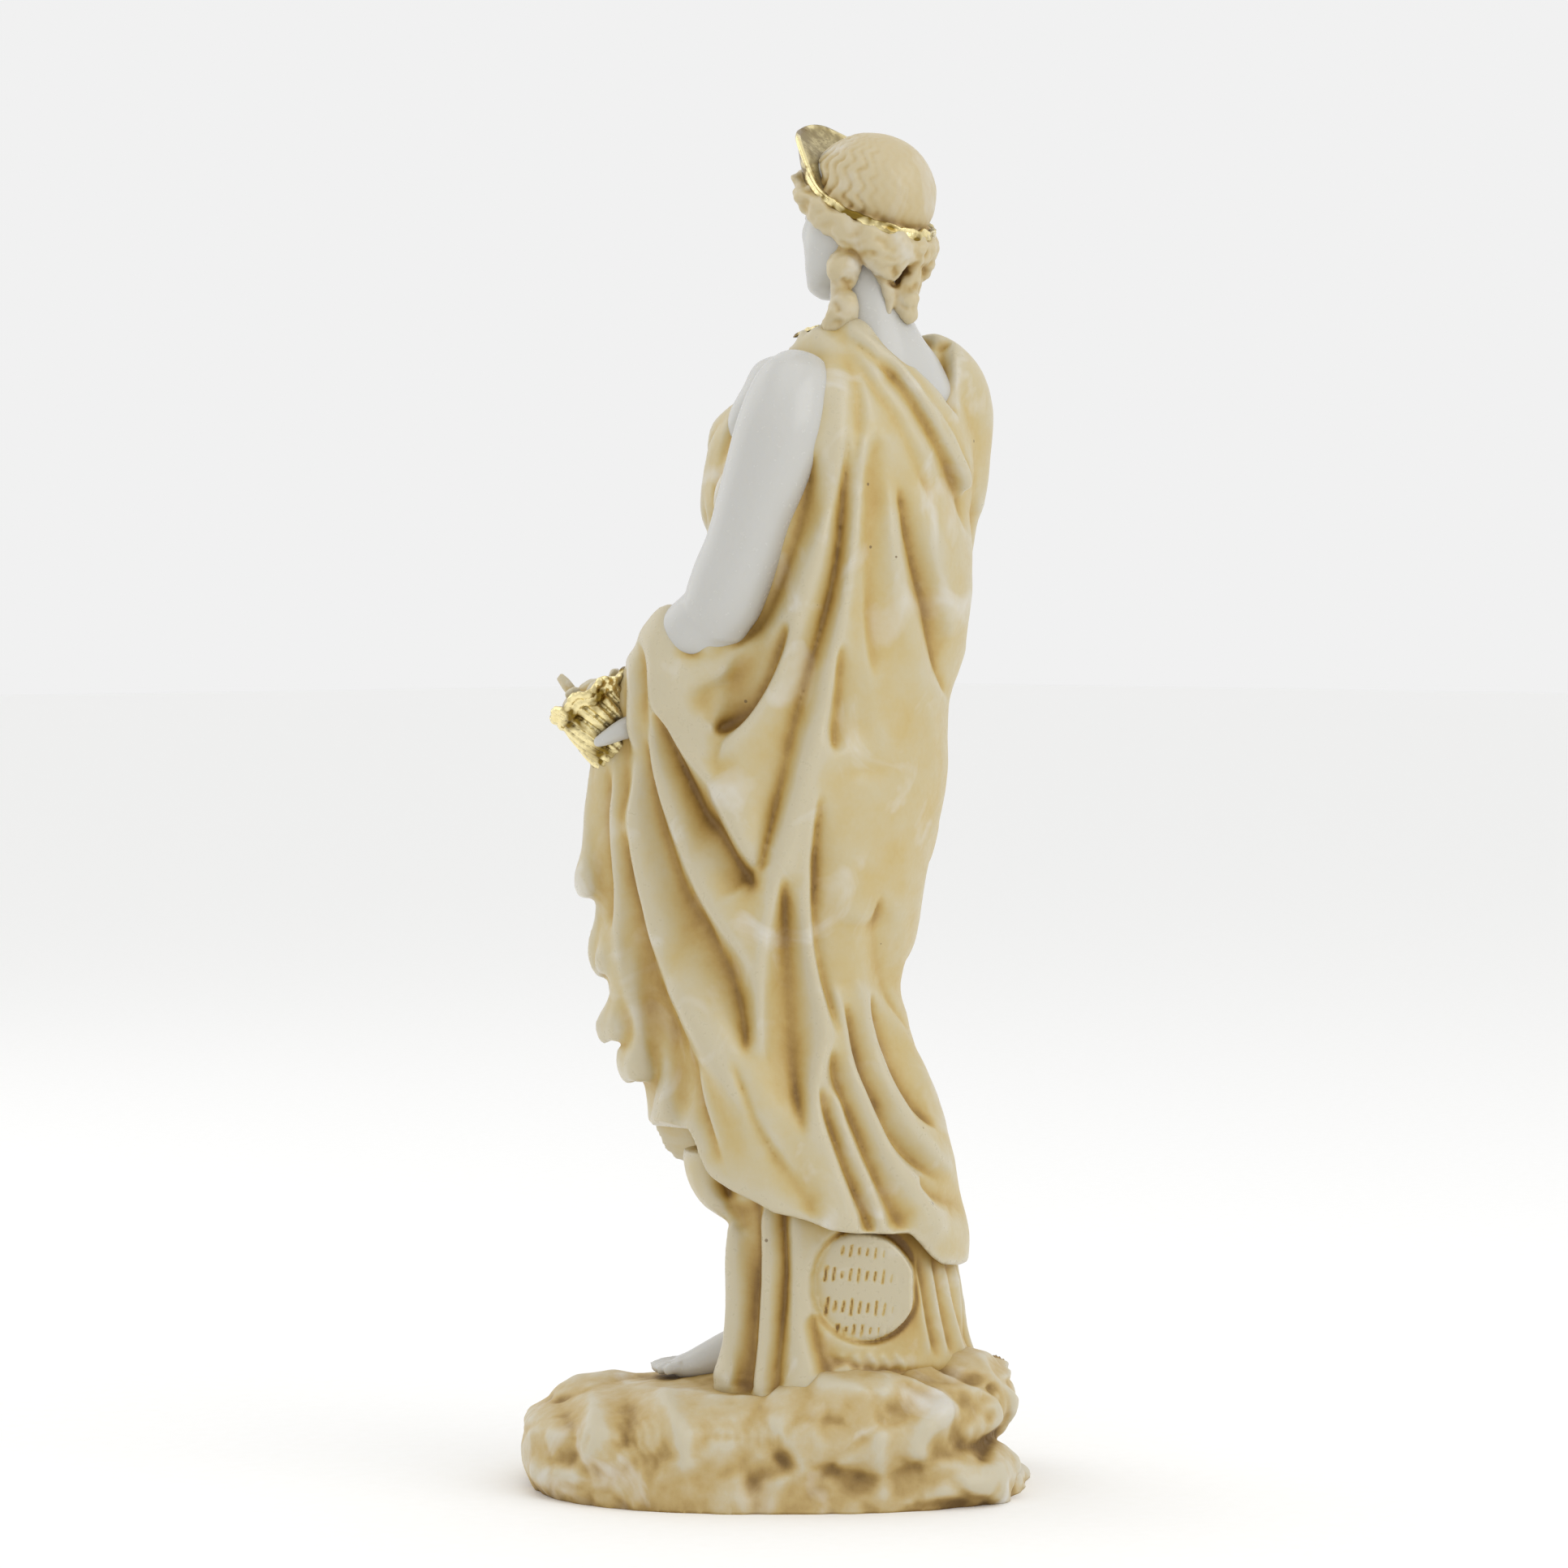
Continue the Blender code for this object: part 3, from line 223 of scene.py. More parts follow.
def edgeEnds(mesh):
    out = np.empty(len(mesh.edges) * 2, np.int32)
    mesh.edges.foreach_get("vertices", out)
    return out.reshape(-1, 2).T


def relaxed(points, ends, times):
    # each point moves half way to the mean of its neighbours
    a, b = ends
    count = len(points)
    valence = np.bincount(a, minlength=count) + np.bincount(b, minlength=count).astype(float)
    for _ in range(times):
        total = np.empty_like(points)
        for k in range(3):
            total[:, k] = np.bincount(a, points[b, k], count) + np.bincount(b, points[a, k], count)
        points = points + 0.5 * (total / valence[:, None] - points)
    return points


def soften(mesh, times):
    setCoords(mesh, relaxed(coords(mesh), edgeEnds(mesh), times))


def elevation(points, direction):
    # where points fall on the flat drawing that strokes are laid out on: along direction, and up
    return np.stack([points @ direction, points[:, 2]], 1)


def backElevation(points):
    # the drawing of the back is taken from the sculptor's eye, so what is nearer falls a little larger
    off = points - eyeAt
    flat = np.stack([off[:, 0], off @ eyeUp], 1) / (off @ eyeAhead)[:, None]
    return flat * stand["eyeAway"] + (0, stand["eyeLevel"])


def alongStroke(flat, path, reach):
    # for the points near a drawn stroke: their distance from it and their place along it, 0 to 1
    chords = 6 * len(path)
    line = splined([(x, 0, z) for x, z in path], chords)[:, ::2]
    near = np.all((flat > line.min(0) - reach) & (flat < line.max(0) + reach), axis=1)
    found = np.flatnonzero(near)
    p = flat[found]
    lengths = np.linalg.norm(np.diff(line, axis=0), axis=1)
    before = np.concatenate([[0], np.cumsum(lengths)])
    gap = np.full(len(p), np.inf)
    part = np.zeros(len(p))
    for k in range(len(lengths)):
        step = line[k + 1] - line[k]
        u = np.clip(((p - line[k]) @ step) / (step @ step), 0, 1)
        away = p - line[k] - u[:, None] * step
        away = np.hypot(away[:, 0], away[:, 1])
        part = np.where(away < gap, (before[k] + u * lengths[k]) / before[-1], part)
        gap = np.minimum(gap, away)
    return found, gap, part


# what holds for every fold, with lengths as shares of its width
folding = {
    "reach": 6.5,             # a fold is felt this far off,
    "fade": 3.2,              # and has mostly faded here
    "bluntCrest": 0.42,       # a crest is rounder than a trough
    "bluntTrough": 0.24,
    "ends": (0.3, 0.3),       # the shares of its length over which it rises and dies out
    "overrun": 0.03,
}


def folded(flat, strokes, rest=0.22):
    # Cloth between crests and troughs. Each stroke is a height, a width, a path drawn on the
    # elevation, how round it is, where 1 gives a crease and 2 a soft swell, and perhaps its ends.
    # The surface runs from one stroke to the next, and back to rest where none is near.
    f = folding
    lift = np.zeros(len(flat))
    weight = np.full(len(flat), rest)
    for height, width, path, roundness, *ends in strokes:
        fadeIn, fadeOut = ends or f["ends"]
        found, gap, part = alongStroke(flat, path, f["reach"] * width)
        blunt = width * (f["bluntCrest"] if height > 0 else f["bluntTrough"])
        share = (width / np.hypot(gap, blunt)) ** roundness * np.exp(-((gap / (f["fade"] * width)) ** 2))
        share = share * smooth(-f["overrun"], fadeIn, part) * smooth(1 + f["overrun"], 1 - fadeOut, part)
        lift[found] += share * height
        weight[found] += share
    return lift / weight


# the same for a cut: its reach in widths, how square its sides are, and the share of its ends
cutting = {"reach": 2.6, "square": 1.6, "ends": 0.2}


def carved(flat, strokes):
    # strokes cut one by one into a surface: height, width and path, dying out at both ends
    c = cutting
    lift = np.zeros(len(flat))
    for height, width, path in strokes:
        found, gap, part = alongStroke(flat, path, c["reach"] * width)
        share = np.exp(-((gap / width) ** c["square"]))
        lift[found] += height * share * smooth(0, c["ends"], part) * smooth(1, 1 - c["ends"], part)
    return lift


def mirrored(strokes):
    return [(height, width, [(-x, z) for x, z in path]) for height, width, path in strokes]


def noisy(points, scale, seed, octaves=3):
    # smooth noise, one value a point; scale is the size of its grain in millimetres
    return np.array([noise.fractal(Vector(v), 1.0, 2.0, octaves) for v in points / scale + seed])


def cellular(points):
    # 0 on the border between two cells of a cellular pattern, and more toward their middles
    return np.array([np.diff(noise.voronoi(Vector(v))[0][:2])[0] for v in points])


def addShare(mesh, name, share):
    layer = mesh.attributes.new(name, "FLOAT", "POINT")
    layer.data.foreach_set("value", np.asarray(share, dtype=np.float32))


# Where the patina settles: "nick" is how far a point lies below its surroundings over about a
# millimetre and "hollow" the same broadly. Each has its reach, squared, and the depth that fills it.
patinaPlaces = {"nick": (4, 0.22), "hollow": (40, 1.15)}


def addPatinaPlaces(mesh, voxel):
    p = coords(mesh)
    n = normals(mesh)
    ends = edgeEnds(mesh)
    around = p
    for name, (reach, depth) in patinaPlaces.items():
        around = relaxed(around, ends, int(reach / voxel**2))
        below = np.einsum("ij,ij->i", around - p, n)
        addShare(mesh, name, np.clip(0.5 + below / (2 * depth), 0, 1))


def thinned(mesh, triangles):
    # fewer triangles where the surface is flat
    now = sum(len(face.vertices) - 2 for face in mesh.polygons)
    if now <= triangles:
        return mesh
    return remade(mesh, "DECIMATE", decimate_type="COLLAPSE", ratio=triangles / now,
                  use_collapse_triangulate=True)


made = []        # every finished mesh, still on the stand, with its piece's name and material


def keep(name, mesh, material, voxel=0.0, triangles=190000):
    if voxel:
        addPatinaPlaces(mesh, voxel)
    mesh = thinned(mesh, triangles)
    mesh.name = name
    made.append((name, mesh, material))
    print(name, len(mesh.polygons), "faces")


# The mantle: a trunk of level rings, with the masses of cloth that stand out from it
mantle = {
    "voxel": 0.52,
    "softening": 22,
    "trunk": [
        # x, y, z, half-width, half-depth
        (16.5, -1.0, 218.5, 7, 5), (16.5, -1.0, 215, 15, 8.5), (15.0, -1.0, 210, 22, 12.5),
        (13.5, -0.5, 204, 25.5, 16), (12.5, 0.0, 198, 26.5, 18.5), (11.0, 1.0, 190, 27, 20.5),
        (12.0, 0.0, 180, 27, 20), (12.6, 0.0, 170, 26.3, 18.8), (12.0, 0.0, 160, 26.2, 18.3),
        (9.0, 0.0, 150, 25.5, 19), (7.4, 0.0, 138, 27, 20.5), (5.2, 0.0, 128, 27.5, 21),
        (3.0, 0.0, 118, 27, 21), (2.2, 0.0, 108, 26, 20.5), (0.5, 0.0, 98, 25, 20),
        (0.2, 0.0, 88, 25.5, 20), (3.4, 0.0, 78, 27, 21), (5.2, 0.0, 70, 28, 21.8),
        (7.1, 0.0, 60, 29.2, 22.4), (9.3, 0.0, 50, 29.4, 22.4), (10.2, 0.0, 40, 28, 21),
    ],
    "curtain": [
        # cloth falling from the left forearm
        (-18.2, -8, 166.6, 3, 3.6), (-19.2, -8, 162.4, 7.2, 6), (-21, -7, 155, 12.6, 8),
        (-21, -5, 144, 16.6, 8.5), (-21, -4, 134, 19, 9.5), (-20.4, -3, 122, 21.4, 10),
        (-19.5, -3, 112, 20.6, 10), (-17.5, -3, 104, 21.5, 10), (-15.5, -4, 96, 22, 10),
        (-13.5, -4.5, 88, 22, 10.5), (-10, -5, 78, 20, 11), (-7, -5, 68, 22, 12), (-6, -5, 60, 22, 12),
    ],
    "cascade": [
        # layers at the curtain's free edge: where each hangs from, its foot, its radius
        ((-34.0, 7, 143), (-36.4, 113.5), 2.7), ((-33.5, 5, 133), (-33.8, 98.5), 2.9),
        ((-31.0, 2, 124), (-31.4, 86), 3.2), ((-28.0, -2, 116), (-27.4, 79), 2.8),
        ((-23, -6, 105), (-21.2, 67), 3.0),
    ],
    "sleeve": [
        (25, 7, 218.8, 4.2, 4.4), (27.6, 9, 214.4, 8.0, 7.7), (29.6, 12.5, 207.6, 10.4, 10.2),
        (29.2, 14, 199, 10.5, 10.3), (27.2, 16, 188, 9.9, 10.2), (26.2, 19, 178, 9.6, 9.4),
        (23, 22, 170, 9, 8.6), (18, 27, 168, 7, 7),
    ],
    "leftBust": [
        (-0.2, -1.4, 213.5, 2.8, 3.4), (-1.8, -0.8, 209.5, 4.8, 5.6), (-3.0, -0.5, 206, 6.6, 7.4),
        (-4.1, 0.5, 202.5, 8.3, 9.0), (-4.8, 1, 198.5, 9.3, 10), (-5.1, 2, 193, 9.6, 11),
        (-5.0, 2, 186, 10.1, 11), (-4.2, 1, 178, 10.2, 10), (-2.4, 0, 170, 9, 9),
    ],
    "straps": [
        # over the left shoulder, the last two down to the back and the front of the breast
        [(1.8, 3, 213, 2.4, 2.4), (1.8, -1.8, 216.8, 2.9, 2.2), (4.4, -5.5, 218.4, 3.2, 2.4),
         (8.5, -9.5, 216.5, 3.6, 3.2), (12, -12, 209, 4, 3.6)],
        [(6.5, 0, 218.5, 3.2, 2.6), (10, -5, 219.6, 4.2, 2.8), (13, -8.5, 217, 4.6, 3.4),
         (16, -11, 210, 5, 3.6)],
        [(6, -2.5, 219.4, 2.4, 2.0), (9.9, -5.6, 219.4, 2.7, 2.1), (13.9, -7.7, 218.2, 2.8, 2.2),
         (19.8, -9.4, 213.3, 2.7, 2.3), (25.2, -9.0, 206.5, 2.6, 2.3), (29.8, -6.2, 199, 2.4, 2.4),
         (33.4, -1.4, 191, 2, 2)],
        [(2.6, -2.6, 216.6, 2.4, 2.0), (0, 2, 214.6, 3.0, 2.2), (-2.6, 5.5, 210, 3.8, 2.6),
         (-4.8, 7.8, 203, 4.6, 3.0)],
        [(0.8, -2, 216.4, 1.8, 1.8), (2.6, -6, 216.6, 2.4, 2.2), (6, -9.8, 215.4, 2.8, 2.4),
         (9, -12, 211, 2.4, 2.2)],
    ],
    "elbowWrap": [
        (-24.5, -9, 158.5, 3, 3), (-20, -14, 155, 3.8, 3.6), (-14.5, -17, 156, 3.6, 3.2),
        (-9, -17, 160.2, 3, 2.8), (-4.6, -15.4, 165.4, 2.6, 2.4), (-1.6, -13.6, 171, 2, 2),
    ],
    "sling": [(-13, -13, 158, 6.5, 3.6), (-12, -13.4, 151, 8, 4.6), (-13, -12.4, 144, 7, 4.8),
              (-12, -11.4, 137, 5, 4)],
    "chest": (11, 1, 189.5),
    "breasts": ((-10.0, 9.5), 13.2, (9.6, 9.2, 11.0)),    # to the left, to the front, radii
    "waist": ((10, 0), 27, 21),                           # middle, radii to the left and the front
    "waistRoll": [
        # degrees round the waist from the figure's left, height, radius
        (178, 156, 2.0), (160, 153, 3.4), (138, 153, 4.8), (110, 156, 5.6),
        (80, 160, 6.0), (50, 162, 6.2), (25, 162, 6.4), (5, 160, 5.5),
    ],
    # across, and how low the mantle hangs there, on the back elevation and on the front one
    "hemBehind": ([-40, -25, -18, -15, -10, -5, -2, 2, 5, 9, 14, 20, 24, 26, 28, 30, 33, 36],
                  [72, 67.2, 64.2, 60.8, 57.5, 55, 53.2, 52.3, 51.5, 49.9, 49.3, 49.2, 49.4, 47.3,
                   45, 43.6, 43.4, 44.6]),
    "hemAhead": ([-30, -10, 8, 14, 20], [46, 51, 63, 69, 71]),
    "hemScallops": (0.8, 0.55),           # depth, and radians a millimetre
    "upperEdge": ([10, 16, 20, 24, 29, 31, 33], [226, 223, 219.5, 214.6, 209.6, 206.6, 204]),
    "bareDepth": 3.0,                     # how far the skin lies below the cloth above that edge
    "scoop": ((-6.0, 218), (9.5, 9.0), 2.8),     # the gown's neckline: centre, radii, depth
    "ripple": (0.22, 7.0),                # height and grain
}

# where the wash is wiped off almost to white: share, width, path on the back elevation
wipedPlaces = [
    (1.0, 2.6, [(-22.4, 168), (-23.4, 160), (-22.0, 151), (-18.4, 144.5), (-12.5, 138)]),
    (0.6, 3.0, [(-26.5, 150), (-26.8, 138), (-24, 124), (-20, 112)]),
    (0.5, 2.4, [(6.8, 214), (9.8, 205), (9.2, 192)]),
    (0.5, 2.6, [(8.0, 150), (6.0, 142), (2.5, 128), (-1.4, 114)]),
    (0.6, 3.0, [(4.2, 116), (6.8, 92), (7.2, 72)]), (0.5, 3.0, [(-26, 84), (-20, 70), (-13, 64)]),
    (0.5, 2.4, [(17, 74), (22, 63), (27, 55)]),
]

# folds on the back elevation: height, width, path of (across, up), roundness, ends
backFolds = [
    # the strap over the left shoulder, and the crest that runs on below the arm
    (0.8, 1.8, [(7, 218.5), (10.2, 212), (11, 203), (9.4, 192), (7.8, 184)], 1.5),
    # gathers over the left breast, seen past the arm
    (0.9, 1.0, [(-7.2, 211), (-10.4, 203), (-12.6, 195), (-13.6, 186)], 1.4),
    (-1.3, 0.9, [(-6.6, 208), (-9.2, 201), (-11.2, 193), (-12.4, 184)], 1.2),
    (0.8, 1.0, [(-9.4, 209.5), (-12.4, 203), (-14.4, 195), (-15.0, 186)], 1.4),
    (3.4, 2.1, [(8.6, 188), (7.0, 181), (5.0, 174.5), (3.2, 168), (0.8, 161.5), (-2.2, 154.5),
                (-6, 147.5), (-12.5, 137.5)], 1.25),
    (-3.0, 1.7, [(5.8, 198), (4.0, 189), (1.6, 181), (-1.2, 173.5), (-5.5, 166), (-9.5, 161.5)],
     1.2, 0.4, 0.2),
    (-4.6, 2.6, [(1.2, 166), (-1.4, 160), (-4.4, 154), (-8.0, 149), (-13, 144.5)], 1.3, 0.35, 0.35),
    (-1.0, 1.8, [(-12, 158), (-12.6, 152), (-14.6, 146.5)], 1.4),
    (3.6, 2.3, [(-21.5, 168), (-23.4, 160), (-23.6, 152.5), (-21.2, 145), (-17.2, 139.5),
                (-12.5, 134), (-8.5, 126), (-5.5, 118.5)], 1.4, 0.05, 0.1),
    (-2.9, 1.9, [(12, 206), (11.6, 192), (10.9, 182), (9.4, 172.5), (7.4, 165), (5, 157),
                 (2.6, 149), (0.6, 141), (-1.2, 132.5), (-3.2, 124), (-5.3, 116)], 1.4, 0.55, 0.3),
    (3.0, 2.2, [(15.2, 208), (14.3, 193), (13.2, 182), (11.5, 171.5), (9.6, 161), (8.2, 152),
                (6.4, 144), (3.9, 135.5), (1.5, 126), (-1, 118), (-3, 110), (-4.4, 101),
                (-4.6, 92), (-4, 82)], 1.25, 0.45, 0.3),
    (-1.2, 2.8, [(17.5, 201), (17.3, 188), (16.8, 177), (16.4, 165), (17, 155)], 1.6),
    (-1.4, 1.8, [(10.8, 162), (10.3, 152), (9.4, 141)], 1.3),
    (0.7, 1.5, [(14.6, 182), (14.8, 170), (15.4, 160), (17.2, 150), (19, 139)], 1.4, 0.4, 0.4),
    (1.0, 1.9, [(19.5, 195), (20.8, 180), (22.6, 169), (24.2, 160), (26, 152), (28.4, 143)], 1.4, 0.4, 0.4),
    (-3.2, 1.4, [(22.0, 192), (24.2, 183), (26.2, 175.5), (28, 169), (29.4, 162.5), (31, 152)],
     1.15, 0.45, 0.45),
    (1.1, 2.0, [(26, 193), (28.6, 181), (30.6, 173), (32.2, 162)], 1.5, 0.4, 0.4),
    # the rolled upper edge of the mantle and the pleats that follow it
    (1.7, 1.5, [(13, 221.5), (17.5, 218.8), (22, 214.8), (26, 210), (29.5, 205), (32.6, 199.5),
                (35, 193.5), (36.4, 187)], 1.4, 0.05, 0.1),
    (-1.4, 0.9, [(13, 219), (18.4, 215), (22.8, 210), (26.5, 204.4), (29.8, 198.6),
                 (32.4, 192), (34.6, 183)], 1.1, 0.2, 0.4),
    (0.5, 1.2, [(12.5, 218), (17.5, 212.5), (21.6, 207.4), (25, 202), (28, 195.5), (31, 184)],
     1.3, 0.3, 0.5),
    (-0.9, 0.9, [(13.5, 214.5), (18, 209), (21.8, 203.5), (25, 197), (28.2, 187)], 1.2, 0.3, 0.5),
    (-0.7, 0.7, [(14, 221), (19, 217.8), (23.6, 213.2), (27.8, 207.4), (31, 201.5), (34, 195)],
     1.2, 0.2, 0.3),
    (0.5, 1.2, [(9.5, 218.8), (13.2, 214), (15.8, 208), (16.8, 198)], 1.4, 0.3, 0.5),
    (-0.7, 1.0, [(11, 217), (13.6, 212), (14.2, 205), (13.3, 195)], 1.2, 0.3, 0.5),
    # the cloth that falls from the forearm
    (-4.8, 2.2, [(-24.5, 149), (-22, 142.5), (-18.8, 135), (-15, 127.5), (-10.8, 121.5),
                 (-6.6, 116.2)], 1.12, 0.15, 0.04),
    (2.4, 2.2, [(-26, 150), (-25, 141), (-22.6, 132), (-19.4, 124), (-15.6, 115.8),
                (-11.4, 108.5), (-7, 101.5), (-5.2, 95)], 1.35),
    (-4.2, 2.4, [(-27.8, 147), (-26.8, 138), (-25.2, 129), (-22.6, 120.5), (-19.2, 112),
                 (-15, 104.5), (-11, 98), (-8.4, 91.5), (-7.2, 84)], 1.25),
    (3.0, 2.4, [(-29, 140), (-28.4, 129), (-26.6, 118), (-24.2, 108.5), (-21, 99.5), (-17, 91),
                (-12.5, 82.5), (-7.5, 75), (-1.5, 66), (3, 60)], 1.45),
    (-4.0, 2.2, [(-30.6, 128), (-30, 118), (-28.6, 108), (-26.8, 99.5), (-24.4, 92),
                 (-21.4, 84.5), (-18.2, 77), (-15, 70), (-11.5, 62.5)], 1.15),
    (1.7, 1.5, [(-32.4, 141), (-32.4, 128), (-31.9, 116), (-31, 104), (-29.6, 95), (-27.6, 87)], 1.3),
    (-2.2, 1.1, [(-33.8, 139), (-34, 128), (-33.6, 118), (-33.1, 107)], 1.1),
    (1.5, 1.6, [(-35.4, 143), (-36.6, 128), (-37.2, 115)], 1.4, 0.15, 0.02),
    (-2.4, 1.1, [(-30.2, 161), (-31, 148), (-31.2, 138), (-30.8, 126)], 1.1),
    (1.5, 1.8, [(-28.4, 164), (-29, 152), (-29.2, 141)], 1.4),
    (-1.6, 1.4, [(-26.2, 161), (-26.6, 150), (-26.8, 142)], 1.15),
    (1.2, 2.4, [(-28, 92), (-25, 78), (-20.5, 68.5), (-18, 63)], 1.5, 0.4, 0.02),
    (0.7, 1.8, [(-17, 82), (-13.5, 70), (-10, 62)], 1.4, 0.4, 0.04),
    (-0.6, 1.2, [(-9.5, 82), (-5.5, 71.5), (-2, 65), (1.5, 59.5), (5, 54)], 1.3, 0.4, 0.04),
    # from the hip to the hem
    (-3.0, 2.8, [(-0.4, 119), (0.6, 107), (1.3, 98), (1.9, 88), (2.6, 78), (3.6, 68)], 1.4, 0.4, 0.5),
    (3.3, 2.0, [(5.6, 135), (4.3, 124), (4.0, 114), (4.7, 104), (6.4, 94.5), (7, 86), (6.0, 78),
                (6.6, 70), (8.8, 63.2), (12.6, 51)], 1.25, 0.15, 0.03),
    (-3.0, 1.7, [(6.6, 133), (6.0, 121), (6.1, 111), (7, 102), (8.6, 94), (10, 87)], 1.1),
    (2.2, 1.6, [(9.2, 97), (11, 88), (13.2, 80), (15.6, 74), (17.6, 69.4), (20.3, 63.2),
                (24.7, 57.5), (28.2, 51)], 1.3, 0.15, 0.03),
    (-3.0, 1.4, [(11.2, 94), (13.2, 86), (15.4, 79.5), (17.8, 74.5), (20.3, 69.4), (24.7, 64),
                 (29.4, 60)], 1.12),
    (2.2, 1.7, [(13.8, 98), (16, 88), (18.6, 80.5), (21, 75), (23.8, 69.8), (27.3, 65.4),
                (31.7, 61)], 1.3),
    (-2.2, 1.3, [(16.8, 95), (18.6, 86.5), (21.4, 80), (24.6, 74.5), (28.4, 69.5)], 1.15),
    (1.7, 1.5, [(20.4, 97), (22.4, 88), (25.2, 80.5), (28.2, 74.5), (30.6, 68)], 1.35),
    (-1.7, 1.0, [(17.8, 114), (18.3, 106), (19.3, 99), (21, 92.5), (22.8, 87)], 1.1),
    (-2.0, 1.2, [(6.4, 78), (8.2, 71), (9.7, 66.7), (12.8, 58.8), (16.6, 50.5)], 1.15, 0.15, 0.03),
    (1.7, 1.1, [(9.2, 77), (11.9, 67.6), (15.4, 59.7), (18, 51)], 1.3, 0.15, 0.03),
    (-2.3, 1.2, [(8.8, 84), (10.4, 78), (12.6, 72.5), (14.6, 68), (17.6, 61), (22.8, 51.5)],
     1.12, 0.15, 0.03),
    (-1.8, 1.2, [(25.8, 60.5), (29, 57), (33.5, 55.4)], 1.1, 0.2, 0.02),
    (1.4, 5.5, [(13, 137), (14.5, 122), (14.5, 108)], 2.0),
]


# folds that repeat, on the elevation of the figure's right side, where across runs to its front
sleevePleats = {
    "places": (-11, -6, -1, 4, 9),
    "crest": (1.3, 1.5, [(0, 214), (-1.4, 202), (-1, 190), (6, 174)], 1.4),
    "trough": (-1.7, 1.2, [(2.5, 213), (1.2, 201), (1.6, 189), (8, 174)], 1.15),
}
hipSwags = {
    # the mantle is drawn round the right hip and up to the left forearm
    "count": 5,
    "top": 163, "pitch": 17.5,            # where the highest begins, and the step down to the next
    "drop": 31, "lessDrop": 4.0,          # how far it falls, and how much less the next one does
    # height, width, path of (across, step down, share of the drop), roundness
    "crest": (1.0, 2.6, [(-16, 0, 0), (-5, 0, 0.5), (8, 0, 0.85), (22, 0, 1)], 1.5),
    "trough": (-2.6, 2.0, [(-16, 9, 0), (-5, 8, 0.5), (8, 8, 0.85), (22, 8, 1)], 1.2),
}


def sideFolds():
    folds = []
    for place in sleevePleats["places"]:
        for height, width, path, roundness in (sleevePleats["crest"], sleevePleats["trough"]):
            folds.append((height, width, [(place + x, z) for x, z in path], roundness))
    s = hipSwags
    for k in range(s["count"]):
        top = s["top"] - s["pitch"] * k
        drop = s["drop"] - s["lessDrop"] * k
        for height, width, path, roundness in (s["crest"], s["trough"]):
            path = [(x, top - below - drop * share) for x, below, share in path]
            folds.append((height, width, path, roundness))
    return folds


# folds on the front elevation: across runs to the figure's left
frontFolds = [
    # the gown over the bust, gathered at the neck
    (1.3, 1.3, [(-17, 212), (-18, 200), (-16, 186), (-11, 168)], 1.4),
    (1.2, 1.2, [(-11.4, 211), (-12, 199), (-10.6, 186), (-6.5, 167)], 1.4),
    (1.2, 1.2, [(-6, 207), (-6, 197), (-6, 184), (-3, 166)], 1.4),
    (-1.7, 1.1, [(-14, 212), (-14.8, 200), (-13.2, 186), (-8.6, 168)], 1.15),
    (-1.7, 1.1, [(-8.7, 209), (-9, 198), (-8.3, 185), (-4.8, 166)], 1.15),
    (-1.7, 1.1, [(-20.5, 210), (-21.4, 198), (-19.8, 186), (-15, 171)], 1.15),
    # the mantle's edge from the left shoulder across the chest
    (2.6, 2.0, [(11, 215), (6, 200), (-5, 186), (-16, 174), (-27, 160)], 1.35),
    (1.9, 1.6, [(15, 213), (12, 197), (2, 180), (-9, 168), (-20, 158)], 1.35),
    (1.8, 1.5, [(18.5, 209), (17, 192), (9, 176), (-2, 164), (-12, 156)], 1.35),
    (1.5, 1.4, [(21, 198), (20, 183), (14, 170), (5, 160)], 1.35),
    (-2.6, 1.5, [(13, 213), (9, 198), (-1.5, 183), (-12.5, 171), (-24, 159)], 1.15),
    (-2.4, 1.4, [(17, 210), (14.5, 194), (5.5, 178), (-5.5, 166), (-16, 157)], 1.15),
    (-2.2, 1.3, [(20, 204), (18.5, 187), (11.5, 173), (2, 162)], 1.15),
    (-1.6, 1.6, [(7.5, 212), (2, 199), (-8.5, 186), (-19, 175)], 1.2),
    # long swags from the left forearm to the right shin
    (2.6, 2.8, [(20, 158), (10, 138), (-6, 120), (-20, 110), (-30, 106)], 1.4),
    (2.8, 2.6, [(23, 152), (13, 126), (-2, 104), (-16, 90), (-28, 84)], 1.4),
    (2.8, 2.4, [(26, 144), (17, 115), (4, 90), (-10, 72), (-22, 62)], 1.4),
    (2.6, 2.2, [(28, 134), (21, 105), (11, 82), (0, 64), (-12, 46)], 1.4, 0.15, 0.04),
    (2.4, 2.0, [(30, 122), (26, 97), (19, 77), (8, 54)], 1.4, 0.15, 0.04),
    (-4.0, 2.0, [(21, 154), (12, 132), (-4, 112), (-18, 99), (-29, 94)], 1.15),
    (-4.0, 2.0, [(24.5, 148), (15, 120), (1, 97), (-13, 81), (-25, 72)], 1.15),
    (-3.8, 1.9, [(27, 139), (19, 110), (7.5, 86), (-5, 68), (-19, 50)], 1.15, 0.15, 0.04),
    (-3.2, 1.7, [(29, 128), (23.5, 101), (15, 79), (2, 56)], 1.15, 0.15, 0.04),
    (2.2, 2.2, [(0, 150), (-8, 136), (-20, 126), (-29, 122)], 1.4),
    (-2.8, 1.8, [(1, 144), (-8, 128), (-20, 117), (-29, 113)], 1.15),
    (-2.6, 1.8, [(-2, 152), (-10, 143), (-20, 136), (-29, 133)], 1.15),
]


